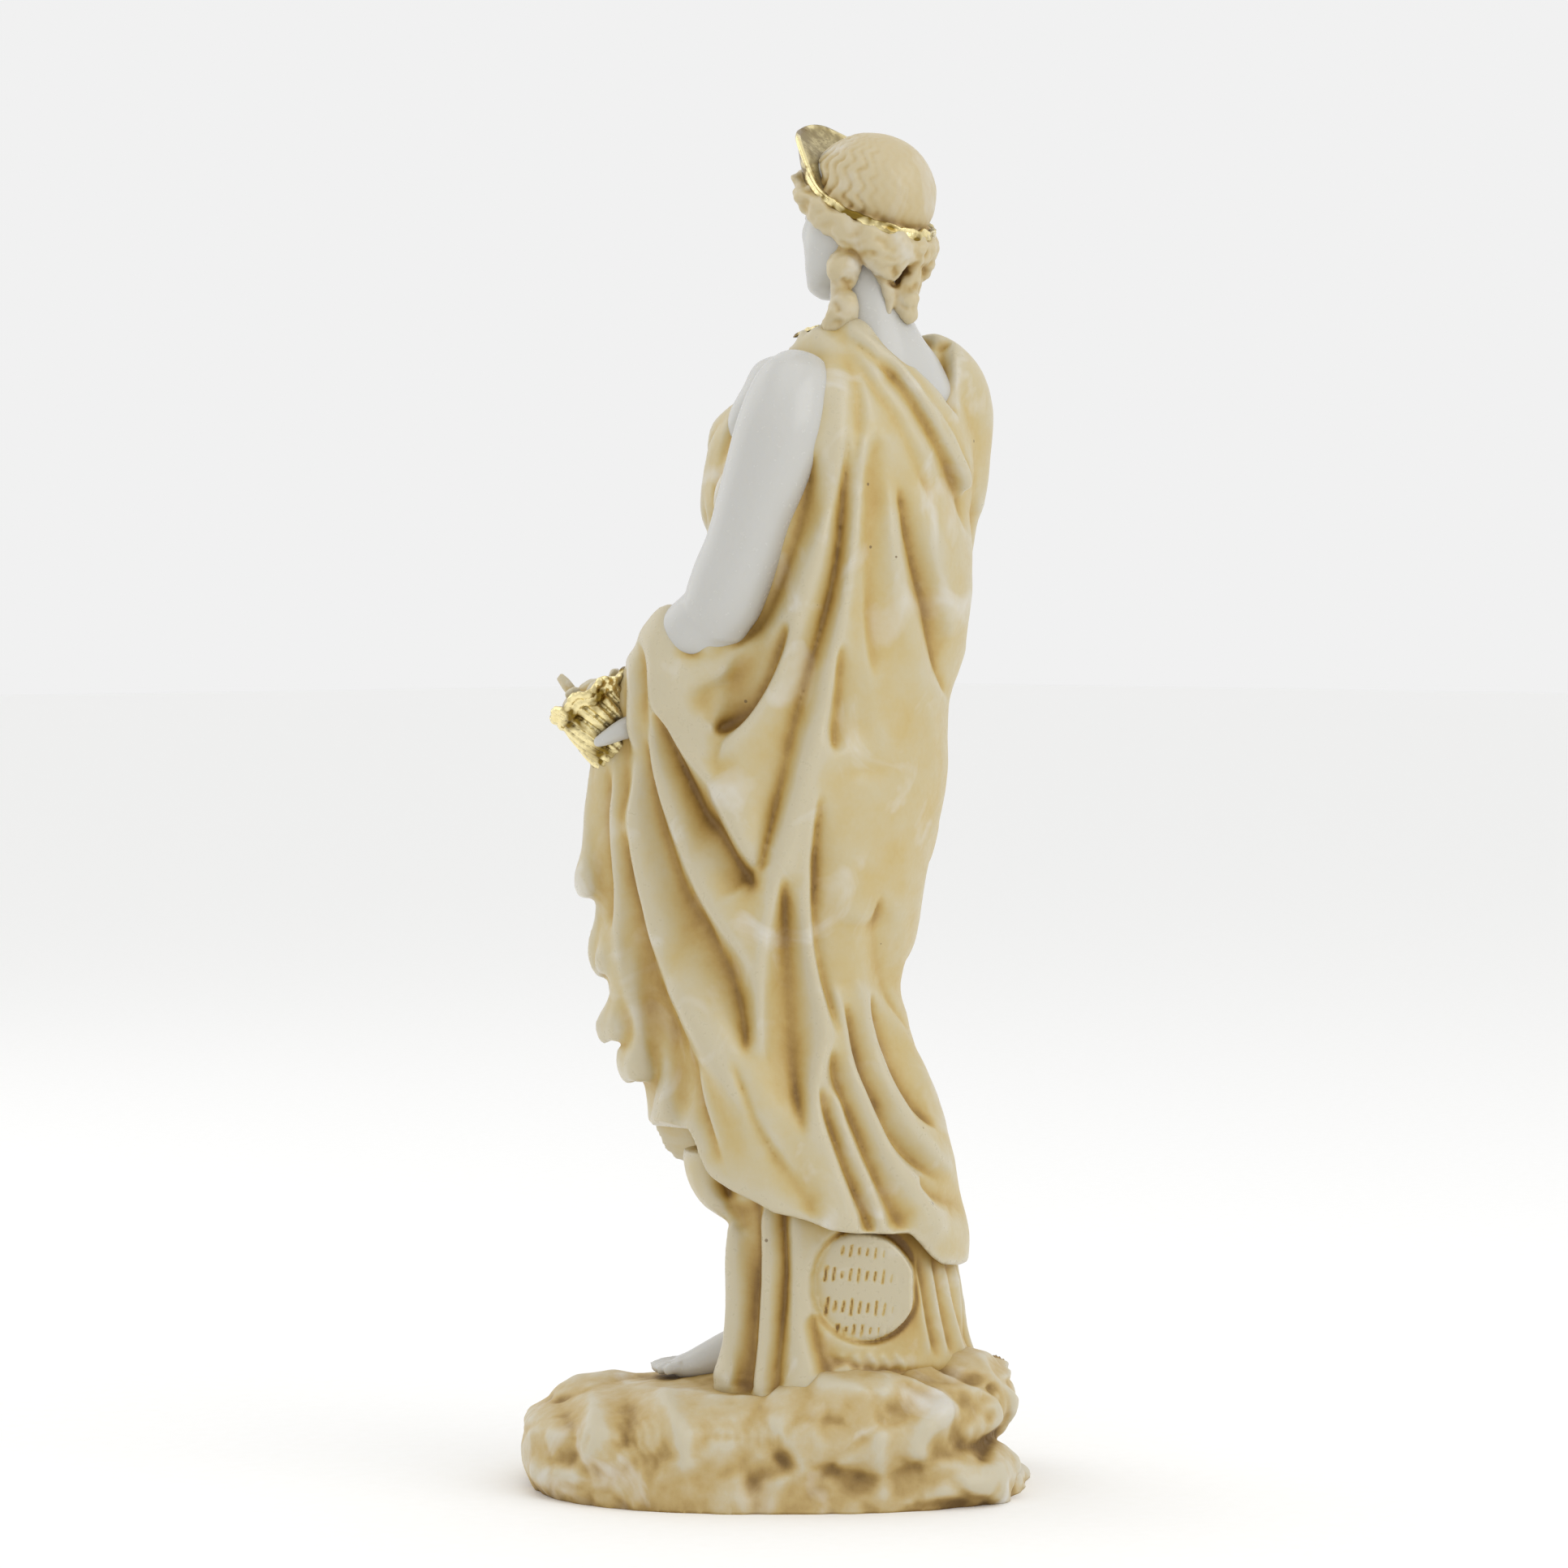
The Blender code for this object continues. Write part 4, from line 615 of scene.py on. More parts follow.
def clothMasses():
    m = mantle
    parts = [
        drawn("trunk", m["trunk"], side=toLeft, level=True, around=72, rings=120),
        drawn("curtain", m["curtain"], side=toFront, level=True, around=56, rings=90),
        drawn("sleeve", m["sleeve"], side=toLeft, around=48, rings=60),
        drawn("leftBust", m["leftBust"], level=True, around=48, rings=50),
        drawn("elbowWrap", m["elbowWrap"], side=upward),
        drawn("sling", m["sling"]),
    ]
    for strap in m["straps"]:
        parts.append(drawn("strap", strap, side=toFront))
    for (x, y, z), (footX, footZ), r in m["cascade"]:
        parts.append(drawn("layer", [
            (x, y, z, r * 0.6, r * 0.9),
            (x * 0.6 + footX * 0.4, y, z * 0.6 + footZ * 0.4, r * 0.85, r * 1.3),
            (footX + 0.5, y, footZ + 7, r * 0.9, r * 1.7),
            (footX, y, footZ + 2.5, r * 1.1, r * 2.0),
            (footX + 0.3, y, footZ, r * 0.9, r * 1.8),
        ], around=32, rings=30))
    places, ahead, radii = m["breasts"]
    for place in places:
        parts.append(ball("breast", m["chest"] + toLeft * place + toFront * ahead, radii))
    middle, wide, deep = m["waist"]
    roll = []
    for degrees, z, r in m["waistRoll"]:
        a = math.radians(degrees)
        p = np.array([*middle, z]) + toLeft * wide * math.cos(a) + toFront * deep * math.sin(a)
        roll.append((*p, r, r * 0.8))
    parts.append(drawn("waistRoll", roll, side=upward, around=36, rings=60))
    return parts


def hemUnder(p):
    # the lowest the mantle hangs: along the back, and rising over the front
    seen = backElevation(p)
    behind = p[:, 2] + np.interp(seen[:, 0], *mantle["hemBehind"]) - seen[:, 1]
    place = p @ toLeft
    deep, often = mantle["hemScallops"]
    ahead = np.interp(place, *mantle["hemAhead"]) + deep * np.sin(place * often)
    share = smooth(-6, 4, p @ toFront)
    return behind * (1 - share) + ahead * share


def makeMantle():
    m = mantle
    mesh = fused("mantle", clothMasses(), m["voxel"])
    soften(mesh, m["softening"])
    p = coords(mesh)
    n = normals(mesh)
    seen = backElevation(p)
    # each drawing takes the cloth that faces it: behind first, then the front, then the right side
    behind = smooth(-0.25, 0.35, n @ toSculptor)
    ahead = smooth(0.0, 0.5, n @ toFront) * (1 - behind)
    aside = smooth(0.2, 0.6, n @ toRight) * (1 - behind) * (1 - ahead)
    lift = folded(seen, backFolds) * behind
    lift = lift + folded(elevation(p, toLeft), frontFolds) * ahead
    lift = lift + folded(elevation(p, toFront), sideFolds()) * aside
    ripple, grain = m["ripple"]
    lift = lift + ripple * noisy(p, grain, 3.1, 2)
    # bare skin between the neck and the mantle's upper edge
    over = seen[:, 1] - np.interp(seen[:, 0], *m["upperEdge"])
    bare = smooth(-0.3, 0.5, over) * smooth(14, 17, seen[:, 0]) * smooth(32.6, 31.2, seen[:, 0])
    lift = lift - m["bareDepth"] * bare * smooth(0, 0.2, n @ toSculptor)
    (x, z), (wide, tall), deep = m["scoop"]
    scoop = np.hypot((p @ toLeft - x) / wide, (p[:, 2] - z) / tall)
    lift = lift - deep * smooth(1.08, 0.9, scoop) * smooth(0.0, 0.3, n @ toFront)
    p = p + n * lift[:, None]
    p[:, 2] = np.maximum(p[:, 2], hemUnder(p))
    setCoords(mesh, p)
    mesh = fused("mantle", [mesh], m["voxel"])
    soften(mesh, 2)
    addShare(mesh, "rubbed", carved(backElevation(coords(mesh)), wipedPlaces))
    keep("mantle", mesh, "cloth", m["voxel"])


# The gown under the mantle: a bell of cloth with flutes down to the rock
gown = {
    "voxel": 0.5,
    "softening": 16,
    "bell": [
        # x, y, z, half-width, half-depth
        (6, 0.5, 80, 20, 14), (8, 0.5, 62, 22, 16), (11, 0.5, 50, 24.0, 17),
        (11.9, 0.5, 38, 24.6, 18.2), (12.2, 0.5, 27, 26.4, 19.4), (13.2, 0.5, 18, 29, 21.5),
    ],
    # the overfold that shows between the curtain's hem and the flutes
    "overfold": [(-14.5, -4, 66, 4.5, 8), (-14, -4, 60, 4.2, 8), (-11.5, -5, 55, 3.4, 8),
                 (-9.5, -6, 52.5, 2, 6)],
    "leftFlutes": [(-7.9, -11.4, 3.2), (-3.1, -14.8, 3.0), (2.2, -17.4, 3.2)],    # x, y, radius
    "leftGown": [(-1.5, -10, 60, 7.5, 5), (-2, -11, 46, 8, 5.6), (-2.2, -11.4, 32, 8.6, 6.0),
                 (-2.8, -11.8, 24, 9.4, 6.6), (-3.4, -12.2, 18.5, 10.8, 7.4)],
    "middle": (12.4, 0.5, 0.0),
    "flutes": 17,                         # round the bell
    "fluteDepth": (0.9, 2.3),             # under the mantle and at the rock
    "fluteFrom": (56, 22),                # and the heights between which they deepen
    "flattened": 0.74,                    # the bell's depth as a share of its width
    "ripple": (0.12, 4.0),                # height and grain
}

gownFolds = [
    # height, width, path of (across, up)
    (0.8, 0.9, [(24.0, 45), (25.6, 36), (27.6, 25)]), (0.8, 0.9, [(26.9, 46), (28.6, 36), (31.0, 24)]),
    (0.8, 0.9, [(29.6, 45), (31.4, 36), (34.2, 25)]), (0.8, 0.9, [(32.0, 44), (34.0, 36), (37.0, 26)]),
    (-0.9, 0.8, [(25.4, 47), (27.1, 36), (29.3, 25)]), (-0.9, 0.8, [(28.2, 47), (30.0, 36), (32.6, 25)]),
    (-0.9, 0.8, [(30.8, 47), (32.7, 36), (35.6, 26)]),
    (-0.9, 1.0, [(7.5, 26.6), (14, 24.2), (22, 23.4), (33, 23.2)]),
]
# tool marks slant down under the seal
for k in range(5):
    top = (10.6 + 2.5 * k, 27.0 - 0.3 * (k % 2))
    gownFolds.append((0.35 + 0.1 * (k % 3), 0.65, [top, (12.8 + 2.7 * k, 23.2)]))

# the flutes that show behind, from the hem down to the rock
fluteFolds = [
    (1.0, 1.3, [(-9.6, 51), (-9.6, 40), (-9.8, 30), (-11, 21)], 1.5, 0.1, 0.05),
    (-2.6, 1.3, [(-6.3, 56), (-5.8, 44), (-6.4, 33), (-7.6, 20)], 1.3, 0.1, 0.05),
    (1.2, 1.5, [(-3.5, 54), (-3.4, 42), (-3.8, 31), (-4.8, 20)], 1.5, 0.1, 0.05),
    (-2.4, 1.3, [(-0.3, 54), (0.1, 43), (-0.9, 32), (-2.4, 20)], 1.3, 0.1, 0.05),
    (1.2, 1.6, [(2.0, 53), (2.4, 42), (2.8, 31), (4.4, 20)], 1.5, 0.1, 0.05),
    (-1.6, 1.2, [(5.4, 34), (6.6, 28), (8.6, 23)], 1.3, 0.2, 0.1),
]


# the maker's seal: a round flat boss, shaved off below and on the right
seal = {
    "centre": (15.3, 39.6),               # across and up, on the back elevation
    "radii": (9.6, 10.2),
    "face": (-19.7, 0.1),                 # how far off it lies in the middle, and its slant
    "shaved": ((24.6, 24.2), (28.6, 29.0)),      # the edges that are cut off, across and up
    "groove": (0.6, 0.55, 1.0),           # round the rim: step out, width, depth
    "rows": [
        # of strokes: height, start and end across, how tall they are
        (46.2, 10.4, 19.4, 2.0), (41.6, 7.2, 23.6, 2.4), (35.4, 7.4, 23.8, 2.6), (31.0, 9.4, 21.8, 1.9),
    ],
    "pitch": 1.55,
    "stroke": (0.3, 0.32),                # half-width, depth
}


def sealStrokes(flat):
    # short slanting nicks in four rows, worn down toward the right, where an inscription would be
    pitch = seal["pitch"]
    x, z = flat.T
    cut = np.zeros(len(flat))
    for row, (middle, start, end, tall) in enumerate(seal["rows"]):
        step = (x - start) / pitch
        nick = np.floor(step)
        lean = 0.15 + 0.04 * np.sin(nick * 2.4 + row * 1.7)
        off = (step - nick - 0.5) * pitch - lean * (z - middle)
        reach = tall * (0.5 + 0.14 * np.sin(nick * 1.9 + row))
        inRow = smooth(reach + 0.2, reach - 0.2, np.abs(z - middle))
        inRow = inRow * (x > start) * (x < end) * smooth(25, 17, x)
        cut = cut + np.exp(-((off / seal["stroke"][0]) ** 2)) * inRow
    return cut


def fluteStations(x, y, r):
    # a flute on the figure's left flares where it meets the rock
    return [
        (x + 0.6, y + 1.5, 60, r * 0.8, r * 0.8), (x, y, 46, r * 0.85, r * 0.9),
        (x - 0.2, y, 33, r * 0.9, r), (x - 0.7, y - 0.6, 27, r * 1.05, r * 1.15),
        (x - 1.3, y - 1.4, 22.5, r * 1.3, r * 1.45), (x - 1.5, y - 1.4, 19.6, r * 0.9, r),
    ]


def makeGown():
    g = gown
    parts = [
        drawn("bell", g["bell"], side=toLeft, level=True, around=64, rings=50),
        drawn("overfold", g["overfold"], level=True, around=32, rings=30),
        drawn("leftGown", g["leftGown"], level=True),
    ]
    for place in g["leftFlutes"]:
        parts.append(drawn("flute", fluteStations(*place), around=28, rings=40))
    mesh = fused("gown", parts, g["voxel"])
    soften(mesh, g["softening"])
    p = coords(mesh)
    n = normals(mesh)
    seen = smooth(-0.15, 0.3, n @ toSculptor)
    flat = backElevation(p)
    ripple, grain = g["ripple"]
    lift = (folded(flat, fluteFolds, rest=0.15) + carved(flat, gownFolds)) * seen
    lift = lift + ripple * noisy(p, grain, 8.0, 2)
    # round flutes with sharp valleys on the sides that turn away, a little uneven in width
    turn = np.arctan2((p - g["middle"]) @ toFront / g["flattened"], (p - g["middle"]) @ toLeft)
    turn = turn + 0.13 * np.sin(turn * 3 + 1) + 0.05 * np.sin(turn * 7)
    shallow, deep = g["fluteDepth"]
    depth = shallow + (deep - shallow) * smooth(*g["fluteFrom"], p[:, 2])
    flute = np.abs(np.cos(turn * g["flutes"] / 2)) ** 0.8 - 0.6
    lift = lift + depth * flute * (1 - seen) * smooth(0.9, 0.5, n[:, 2])
    p = p + n * lift[:, None]
    flat = backElevation(p)
    x, z = flat.T
    (middle, level), (wide, tall) = seal["centre"], seal["radii"]
    gap = np.hypot((x - middle) / wide, (z - level) / tall) * tall
    right, low = seal["shaved"]
    disc = smooth(0.35, 0.0, gap - tall) * smooth(*right, x) * smooth(*low, z) * seen
    face, slant = seal["face"]
    p[:, 1] += (face - slant * (x - middle) - p[:, 1]) * disc
    step, width, depth = seal["groove"]
    groove = np.exp(-(((gap - tall - step) / width) ** 2)) * smooth(26, 22, x) * seen
    p = p - n * (depth * groove)[:, None]
    strokes = sealStrokes(flat)
    p[:, 1] += seal["stroke"][1] * strokes * disc
    setCoords(mesh, p)
    soften(mesh, 1)
    addShare(mesh, "rubbed", disc * (1 - 2.0 * strokes))
    keep("gown", mesh, "cloth", g["voxel"], 120000)


# Bare skin: both arms, shoulder, neck and feet, in the stand's own axes
skin = {
    "voxel": 0.42,
    "softening": 7,
    "limbs": [
        # side axis, then stations of x, y, z, half-width, half-depth
        ("left upper arm", across, [
            (3.4, -11.4, 214.2, 5.0, 4.6), (2.6, -13.2, 211.4, 6.8, 6.6), (1.2, -15.6, 207.5, 7.9, 8.0),
            (-0.4, -17.2, 202, 8.5, 9.0), (-3.1, -17.8, 193.6, 8.1, 8.6), (-5.4, -17.6, 186.4, 7.6, 8.0),
            (-7.4, -17.2, 179.5, 7.5, 7.8), (-10.0, -16.4, 173, 7.6, 8.0), (-12.0, -15.4, 167.6, 7.0, 7.4),
            (-12.8, -14.4, 163.6, 5.4, 6),
        ]),
        ("left forearm", toLeft, [
            (-11.8, -14.6, 168, 6.8, 7.0), (-15.8, -12.4, 164, 7.2, 7.2), (-20, -8.5, 161, 6.6, 6.8),
            (-24, -2.5, 155.5, 5.4, 5.4), (-27.2, 3.0, 148, 4.6, 4.6),
        ]),
        ("right forearm", toFront, [
            (23, 20, 169, 7, 7), (14, 26, 168, 6.2, 6.4), (4, 27, 168, 5.2, 5.4),
            (-4, 24, 169, 3.8, 4.4), (-9, 19, 168.5, 3.0, 5.4), (-13, 14, 166, 2.0, 4.2),
        ]),
        ("neck", toLeft, [
            (18.5, 0.0, 196, 12, 8), (18.5, -0.5, 204, 14, 9), (18.5, -1.0, 209.5, 16.2, 10),
            (18.5, -1.5, 213.5, 13.6, 8.6), (17.8, -1.5, 217.5, 10.0, 7.6), (16.6, -1.0, 222, 8.2, 7.2),
            (15.7, -1.0, 228, 7.4, 6.8), (15.5, -0.3, 234, 7.2, 6.7), (15.5, 0.5, 240, 6.4, 6.6),
        ]),
        ("left palm", (0.83, 0, 0.56), [
            (-26.6, 3, 148.0, 4.2, 4.4), (-27.2, 6.5, 141.0, 4.2, 4.2), (-28, 10.5, 137.5, 4.8, 3.4),
            (-28.6, 14.0, 137.4, 4.4, 2.8),
        ]),
        ("thumb", (0.35, 0, 0.9), [
            (-27.0, -3.5, 146.5, 2.6, 2.2), (-30.5, -5.4, 145.4, 2.1, 1.9), (-33.4, -5.8, 143.9, 1.6, 1.5),
            (-36.0, -5.2, 142.6, 1.0, 1.0),
        ]),
        ("left foot", (0, 1, 0), [
            (-5, -2, 28.6, 4.0, 4.0), (-9.5, -1.5, 27.0, 4.0, 4.2), (-14, -1.0, 25.3, 3.9, 3.5),
            (-18.0, -0.4, 24.0, 4.2, 2.6), (-20.6, 0.0, 23.6, 4.1, 2.0),
        ]),
    ],
    "shoulder": [
        (7.2, -5, 217, 4.2, 3.4), (2.2, -5.8, 214.8, 7.0, 6.0), (-0.2, -6.2, 210, 7.6, 7.2),
        (-2.2, -5.4, 205, 8.2, 6.6), (-3.4, -3.6, 199, 7.4, 6),
    ],
    "toePitch": 1.75,
    "toeLengths": (0.0, 1.4, 2.0, 2.4, 2.6),
    "leftToes": (-19.5, -3.6),            # where the first one starts,
    "leftToeHeights": (24.1, 23.7, 23.1),        # and how they slope down
    "rightHeel": (3.5, 22.0, 0.0),
    "rightRise": 24.3,
    "rightWrist": (-4.0, 24.5, 168.5),
    "fingerPitch": 2.3,
    # along the finger, out from the mantle, down, radius
    "rightFinger": [(0, 0, 0.6, 1.3), (4, 0.2, 1.4, 1.3), (7.4, -1.2, 3, 1.15), (8.6, -2.6, 4.6, 0.9)],
    "leftFingers": (-32.6, 12.4, 140.0),          # the root of the first one,
    "leftFingerStep": (1.9, 0.5, -1.9),           # the step to the next
    # and a step from the root with a radius, as it curls up the far side of the horn
    "leftFinger": [((0, 0, 0), 1.35), ((-0.4, 2.6, 2.8), 1.35), ((-0.6, 2.6, 6.4), 1.2),
                   ((-0.6, 1.4, 9.4), 0.9)],
}


def rightFoot():
    # sole and toes, turned a little outward
    heel = np.array(skin["rightHeel"])
    rise = skin["rightRise"]
    way = unit(toFront - toLeft * 0.25)
    aside = np.array([-way[1], way[0], 0.0])
    parts = [drawn("foot", [
        (*(heel + way * 2 + upward * (rise + 1.9)), 4.0, 3.6),
        (*(heel + way * 7 + upward * (rise + 0.6)), 4.2, 2.6),
        (*(heel + way * 10 + upward * rise), 4.1, 2.0),
    ], side=aside, around=28, rings=24)]
    for k, longer in enumerate(reversed(skin["toeLengths"])):
        root = heel + way * 9 + aside * (skin["toePitch"] * (k - 2))
        parts.append(drawn("toe", [
            (*(root + upward * (rise + 0.2)), 0.95, 1.2),
            (*(root + way * (2 + longer * 0.6) + upward * (rise - 0.3)), 0.95, 1.1),
            (*(root + way * (3.2 + longer) + upward * (rise - 0.8)), 0.8, 0.8),
        ], side=aside, around=16, rings=12))
    return parts


def leftToes():
    x, first = skin["leftToes"]
    root, joint, tip = skin["leftToeHeights"]
    parts = []
    for k, longer in enumerate(skin["toeLengths"]):
        y = first + skin["toePitch"] * k
        parts.append(drawn("toe", [
            (x, y, root, 0.9, 1.3), (x - 2.1 - longer * 0.7, y, joint, 0.9, 1.15),
            (x - 3.3 - longer, y, tip, 0.8, 0.9),
        ], side=(0, 1, 0), around=16, rings=12))
    return parts


def fingers():
    parts = []
    for k in range(4):
        root = np.array(skin["leftFingers"]) + np.array(skin["leftFingerStep"]) * k
        rows = [(*(root + step), r, r) for step, r in skin["leftFinger"]]
        parts.append(drawn("finger", rows, side=(1, 0, 0.3), around=18, rings=20))
    # the right hand lies over the roll of the mantle
    wrist = np.array(skin["rightWrist"])
    way = unit(toLeft * 0.75 + toFront * 0.2)
    parts.append(drawn("right palm", [
        (*wrist, 3.4, 4.0), (*(wrist + way * 4 - upward * 0.4), 2.8, 5.0),
        (*(wrist + way * 9 - upward * 1.4), 2.4, 5.0),
    ], side=toFront, around=28, rings=24))
    for k in range(4):
        root = wrist + way * 8.5 + upward * (3.0 - skin["fingerPitch"] * k)
        rows = []
        for ahead, out, drop, r in skin["rightFinger"]:
            rows.append((*(root + way * ahead + toFront * out - upward * drop), r, r))
        parts.append(drawn("finger", rows, side=toFront, around=18, rings=20))
    return parts


def makeSkin():
    parts = [drawn(name, rows, side=side) for name, side, rows in skin["limbs"]]
    parts.append(drawn("shoulder", skin["shoulder"], level=True))
    mesh = fused("bareSkin", parts, skin["voxel"])
    soften(mesh, skin["softening"])
    # toes and fingers go on after the limbs are softened, so that they stay apart
    mesh = fused("bareSkin", [mesh] + leftToes() + rightFoot() + fingers(), skin["voxel"])
    soften(mesh, 2)
    keep("bareSkin", mesh, "skin", skin["voxel"], 120000)


# The head has its own axes: forward, toward its left, and up
head = {
    "at": (15.8, -0.5, 243.0),
    "turn": 148,                 # degrees from the stand's across to where the face looks
    "voxel": 0.36,
    "softening": 9,
    "face": [
        # forward, left, up, half-depth, half-width down from the brow to the jaw
        (2.6, 0, 12, 5.5, 6.5), (3.2, 0, 8, 8.0, 8.3), (3.4, 0, 4, 8.3, 8.7), (3.4, 0, 0, 8.3, 9.2),
        (3.6, 0, -4, 8.7, 10.2), (3.8, 0, -8, 8.2, 9.9), (5.0, 0, -12, 7.0, 8.3),
        (6.4, 0, -14.8, 5.4, 5.2), (7.0, 0, -16.2, 2.8, 2.6),
    ],
    "nose": [(9.4, 0, 5.5, 1.6, 2.0), (10.9, 0, 2.0, 1.2, 1.6), (12.1, 0, -1.6, 1.05, 1.5),
             (13.0, 0, -4.3, 1.25, 1.5), (12.4, 0, -5.6, 1.3, 1.2)],
    "features": [
        # centre, radii
        ((-1.4, 0, 3.2), (11.6, 9.8, 10.9)), ((9.3, 0, -13.2), (2.7, 3.0, 2.6)),
        ((11.3, 0, -8.0), (1.25, 2.5, 0.75)), ((11.0, 0, -9.9), (1.3, 2.1, 0.85)),
    ],
    # those on both sides: centre of the left one, radii
    "paired": [((12.1, 1.45, -5.3), (1.2, 0.85, 0.8)), ((8.2, 4.4, -4.0), (3.2, 3.2, 3.8)),
               ((-1.2, 9.6, -1.8), (2.0, 1.4, 3.2))],
    "eyes": [((8.7, 4.0, -0.1), (2.1, 2.2, 1.55))],
}
# height, width, path of (left, up): sockets and brows, then the mouth and what lies above and below it
browStrokes = [
    (-1.4, 2.0, [(2.2, 1.0), (4.0, 1.2), (5.8, 0.6)]), (0.5, 0.9, [(1.6, 2.9), (3.6, 3.7), (6.6, 2.6)]),
]
mouthStrokes = [
    (-0.55, 0.4, [(-2.6, -9.0), (0, -8.85), (2.6, -9.0)]), (-0.4, 0.8, [(0, -6.4), (0, -7.2)]),
    (-0.5, 1.0, [(-1.6, -11.4), (0, -11.6), (1.6, -11.4)]),
]
lidStrokes = [
    (0.38, 0.35, [(2.3, -0.3), (3.4, 0.95), (4.7, 0.95), (6.0, -0.2)]),
    (0.3, 0.32, [(2.4, -0.5), (3.6, -1.1), (4.8, -1.05), (6.0, -0.3)]),
]

hair = {
    "voxel": 0.33,
    "cap": ((-0.9, 0, 3.3), (12.5, 11.3, 11.8)),
    "crown": (-4.0, 0, 3.0),  # the middle that the strands run down from, all round
    "strands": 27,
    "strandDepth": 1.0,
    "grooveWidth": 0.42,      # as a share of a strand
    "wave": 16.5,             # bends in a strand, in radians for each radian down from the crown
    "sway": (0.06, 0.07),     # how far the bends go, and how far a strand strays
    "calm": (0.85, 2.8),      # the share of the depth that is lost behind, and in which direction
    "roll": [
        # the roll of hair round the face and nape: forward, left, up, half-width, half-depth
        (11.2, -1.0, 9.0, 2.4, 2.6), (10.4, 4.4, 8.0, 2.6, 2.6), (7.8, 8.4, 4.4, 3.0, 2.9),
        (2.6, 10.0, -0.6, 3.4, 3.1), (-4.0, 9.2, -4.6, 3.6, 3.1), (-8.8, 5.8, -6.6, 3.6, 3.0),
        (-10.6, -0.4, -7.0, 3.4, 2.8),
    ],
    "nape": [(-3, 8.0, -4, 3, 3), (-7, 6.5, -8, 4, 3.5), (-9.5, 3.2, -10.5, 3.5, 2.6)],
    "locks": [
        # corkscrew locks behind the ears, in the stand's axes, with how deep and how often they turn
        ((0.08, 2.6, 2), [(13.2, -7.0, 237, 2.2, 2.2), (12.2, -8.2, 235, 2.3, 2.2),
                          (11.2, -8.9, 232.2, 3.6, 3.2), (10.8, -8.9, 229.9, 2.7, 2.4),
                          (10.2, -8.8, 228.2, 1.4, 1.5), (11.0, -9.0, 226, 3.0, 2.3),
                          (11.2, -9.2, 223.8, 2.9, 2.3), (9.4, -8.8, 221.8, 2.4, 1.8),
                          (7.4, -8.4, 220.8, 1.2, 1.1)]),
        ((0.14, 2.0, 2), [(21.6, -5.0, 236.5, 2.6, 2.6), (23.8, -5.2, 233.2, 2.1, 2.0),
                          (24.6, -5.0, 230.8, 1.6, 1.6), (23.0, -5.6, 228.6, 2.3, 2.0),
                          (22.6, -5.8, 226.2, 2.8, 2.3), (23.6, -5.0, 223.6, 2.0, 1.8),
                          (24.2, -4.6, 222.2, 1.1, 1.1)]),
        ((0.1, 1.6, 2), [(18.6, -6.4, 236, 2.4, 2.0), (18.0, -7.2, 232.8, 1.9, 1.7),
                         (19.3, -7.5, 229.5, 1.5, 1.4), (19.9, -7.2, 226.5, 1.0, 1.0),
                         (19.5, -6.8, 223.6, 0.6, 0.6)]),
    ],
    "napeFill": ((21.8, -2.4, 231), (4.4, 3.2, 6.5)),
    "gap": 2.0,               # how far the hair dips toward the diadem's crest
    # nicks and hollows among the locks, on the back elevation: height, width, path
    "hollows": [
        (-0.7, 0.8, [(9.2, 227), (10.0, 225.6), (10.5, 224.2)]),
        (-0.7, 0.8, [(10.8, 231.2), (12.0, 230), (13.4, 230.6)]), (-0.4, 0.6, [(9.2, 223), (11.2, 222.4)]),
        (-0.9, 1.1, [(20.8, 234), (21.3, 231.8), (20.9, 229)]),
        (-0.5, 0.7, [(22.2, 229.4), (24.2, 229.2), (26, 230)]),
        (-0.5, 0.7, [(21.6, 226), (23.4, 225.2), (25.4, 225.6)]),
    ],
}

band = {
    "low": 2.3,               # height of the band's middle at the sides of the head
    "rise": 7.2,              # and how much higher it sits in front
    "droop": 1.8,             # it sags this far over the ears
    "reach": (12.5, 11.6),    # half-depth and half-width of its ring
    "height": (-1.1, 1.2),    # its lower and upper edge, from that middle
    "crest": 5.9,             # how much taller it is over the brow,
    "crestTurn": 0.16,        # which is turned this far, in radians,
    "skew": 1.9,              # and taller by this on its right
    "lean": 0.2,
    "rim": 0.62,              # the share of the grid that makes the outer face and the rim
    "ragged": (0.6, 0.7, 0.16),      # behind: of the lower edge, the upper edge and the face
    # round the section from the lower edge, as shares of the band's height, and steps out from the ring
    "section": [(0, -0.5), (0, 0.35), (0.3, 0.75), (0.7, 0.55), (0.9, 0.75), (1, 0.35), (0.93, -0.35)],
}


def onHead(mesh):
    p = coords(mesh)
    turn = math.radians(head["turn"])
    ahead = np.array([math.cos(turn), math.sin(turn), 0])
    aside = np.array([-math.sin(turn), math.cos(turn), 0])
    setCoords(mesh, head["at"] + p[:, :1] * ahead + p[:, 1:2] * aside + p[:, 2:3] * upward)
    return mesh


def bothSides(balls):
    return [ball("side", (f, side * s, u), radii) for (f, s, u), radii in balls for side in (-1, 1)]


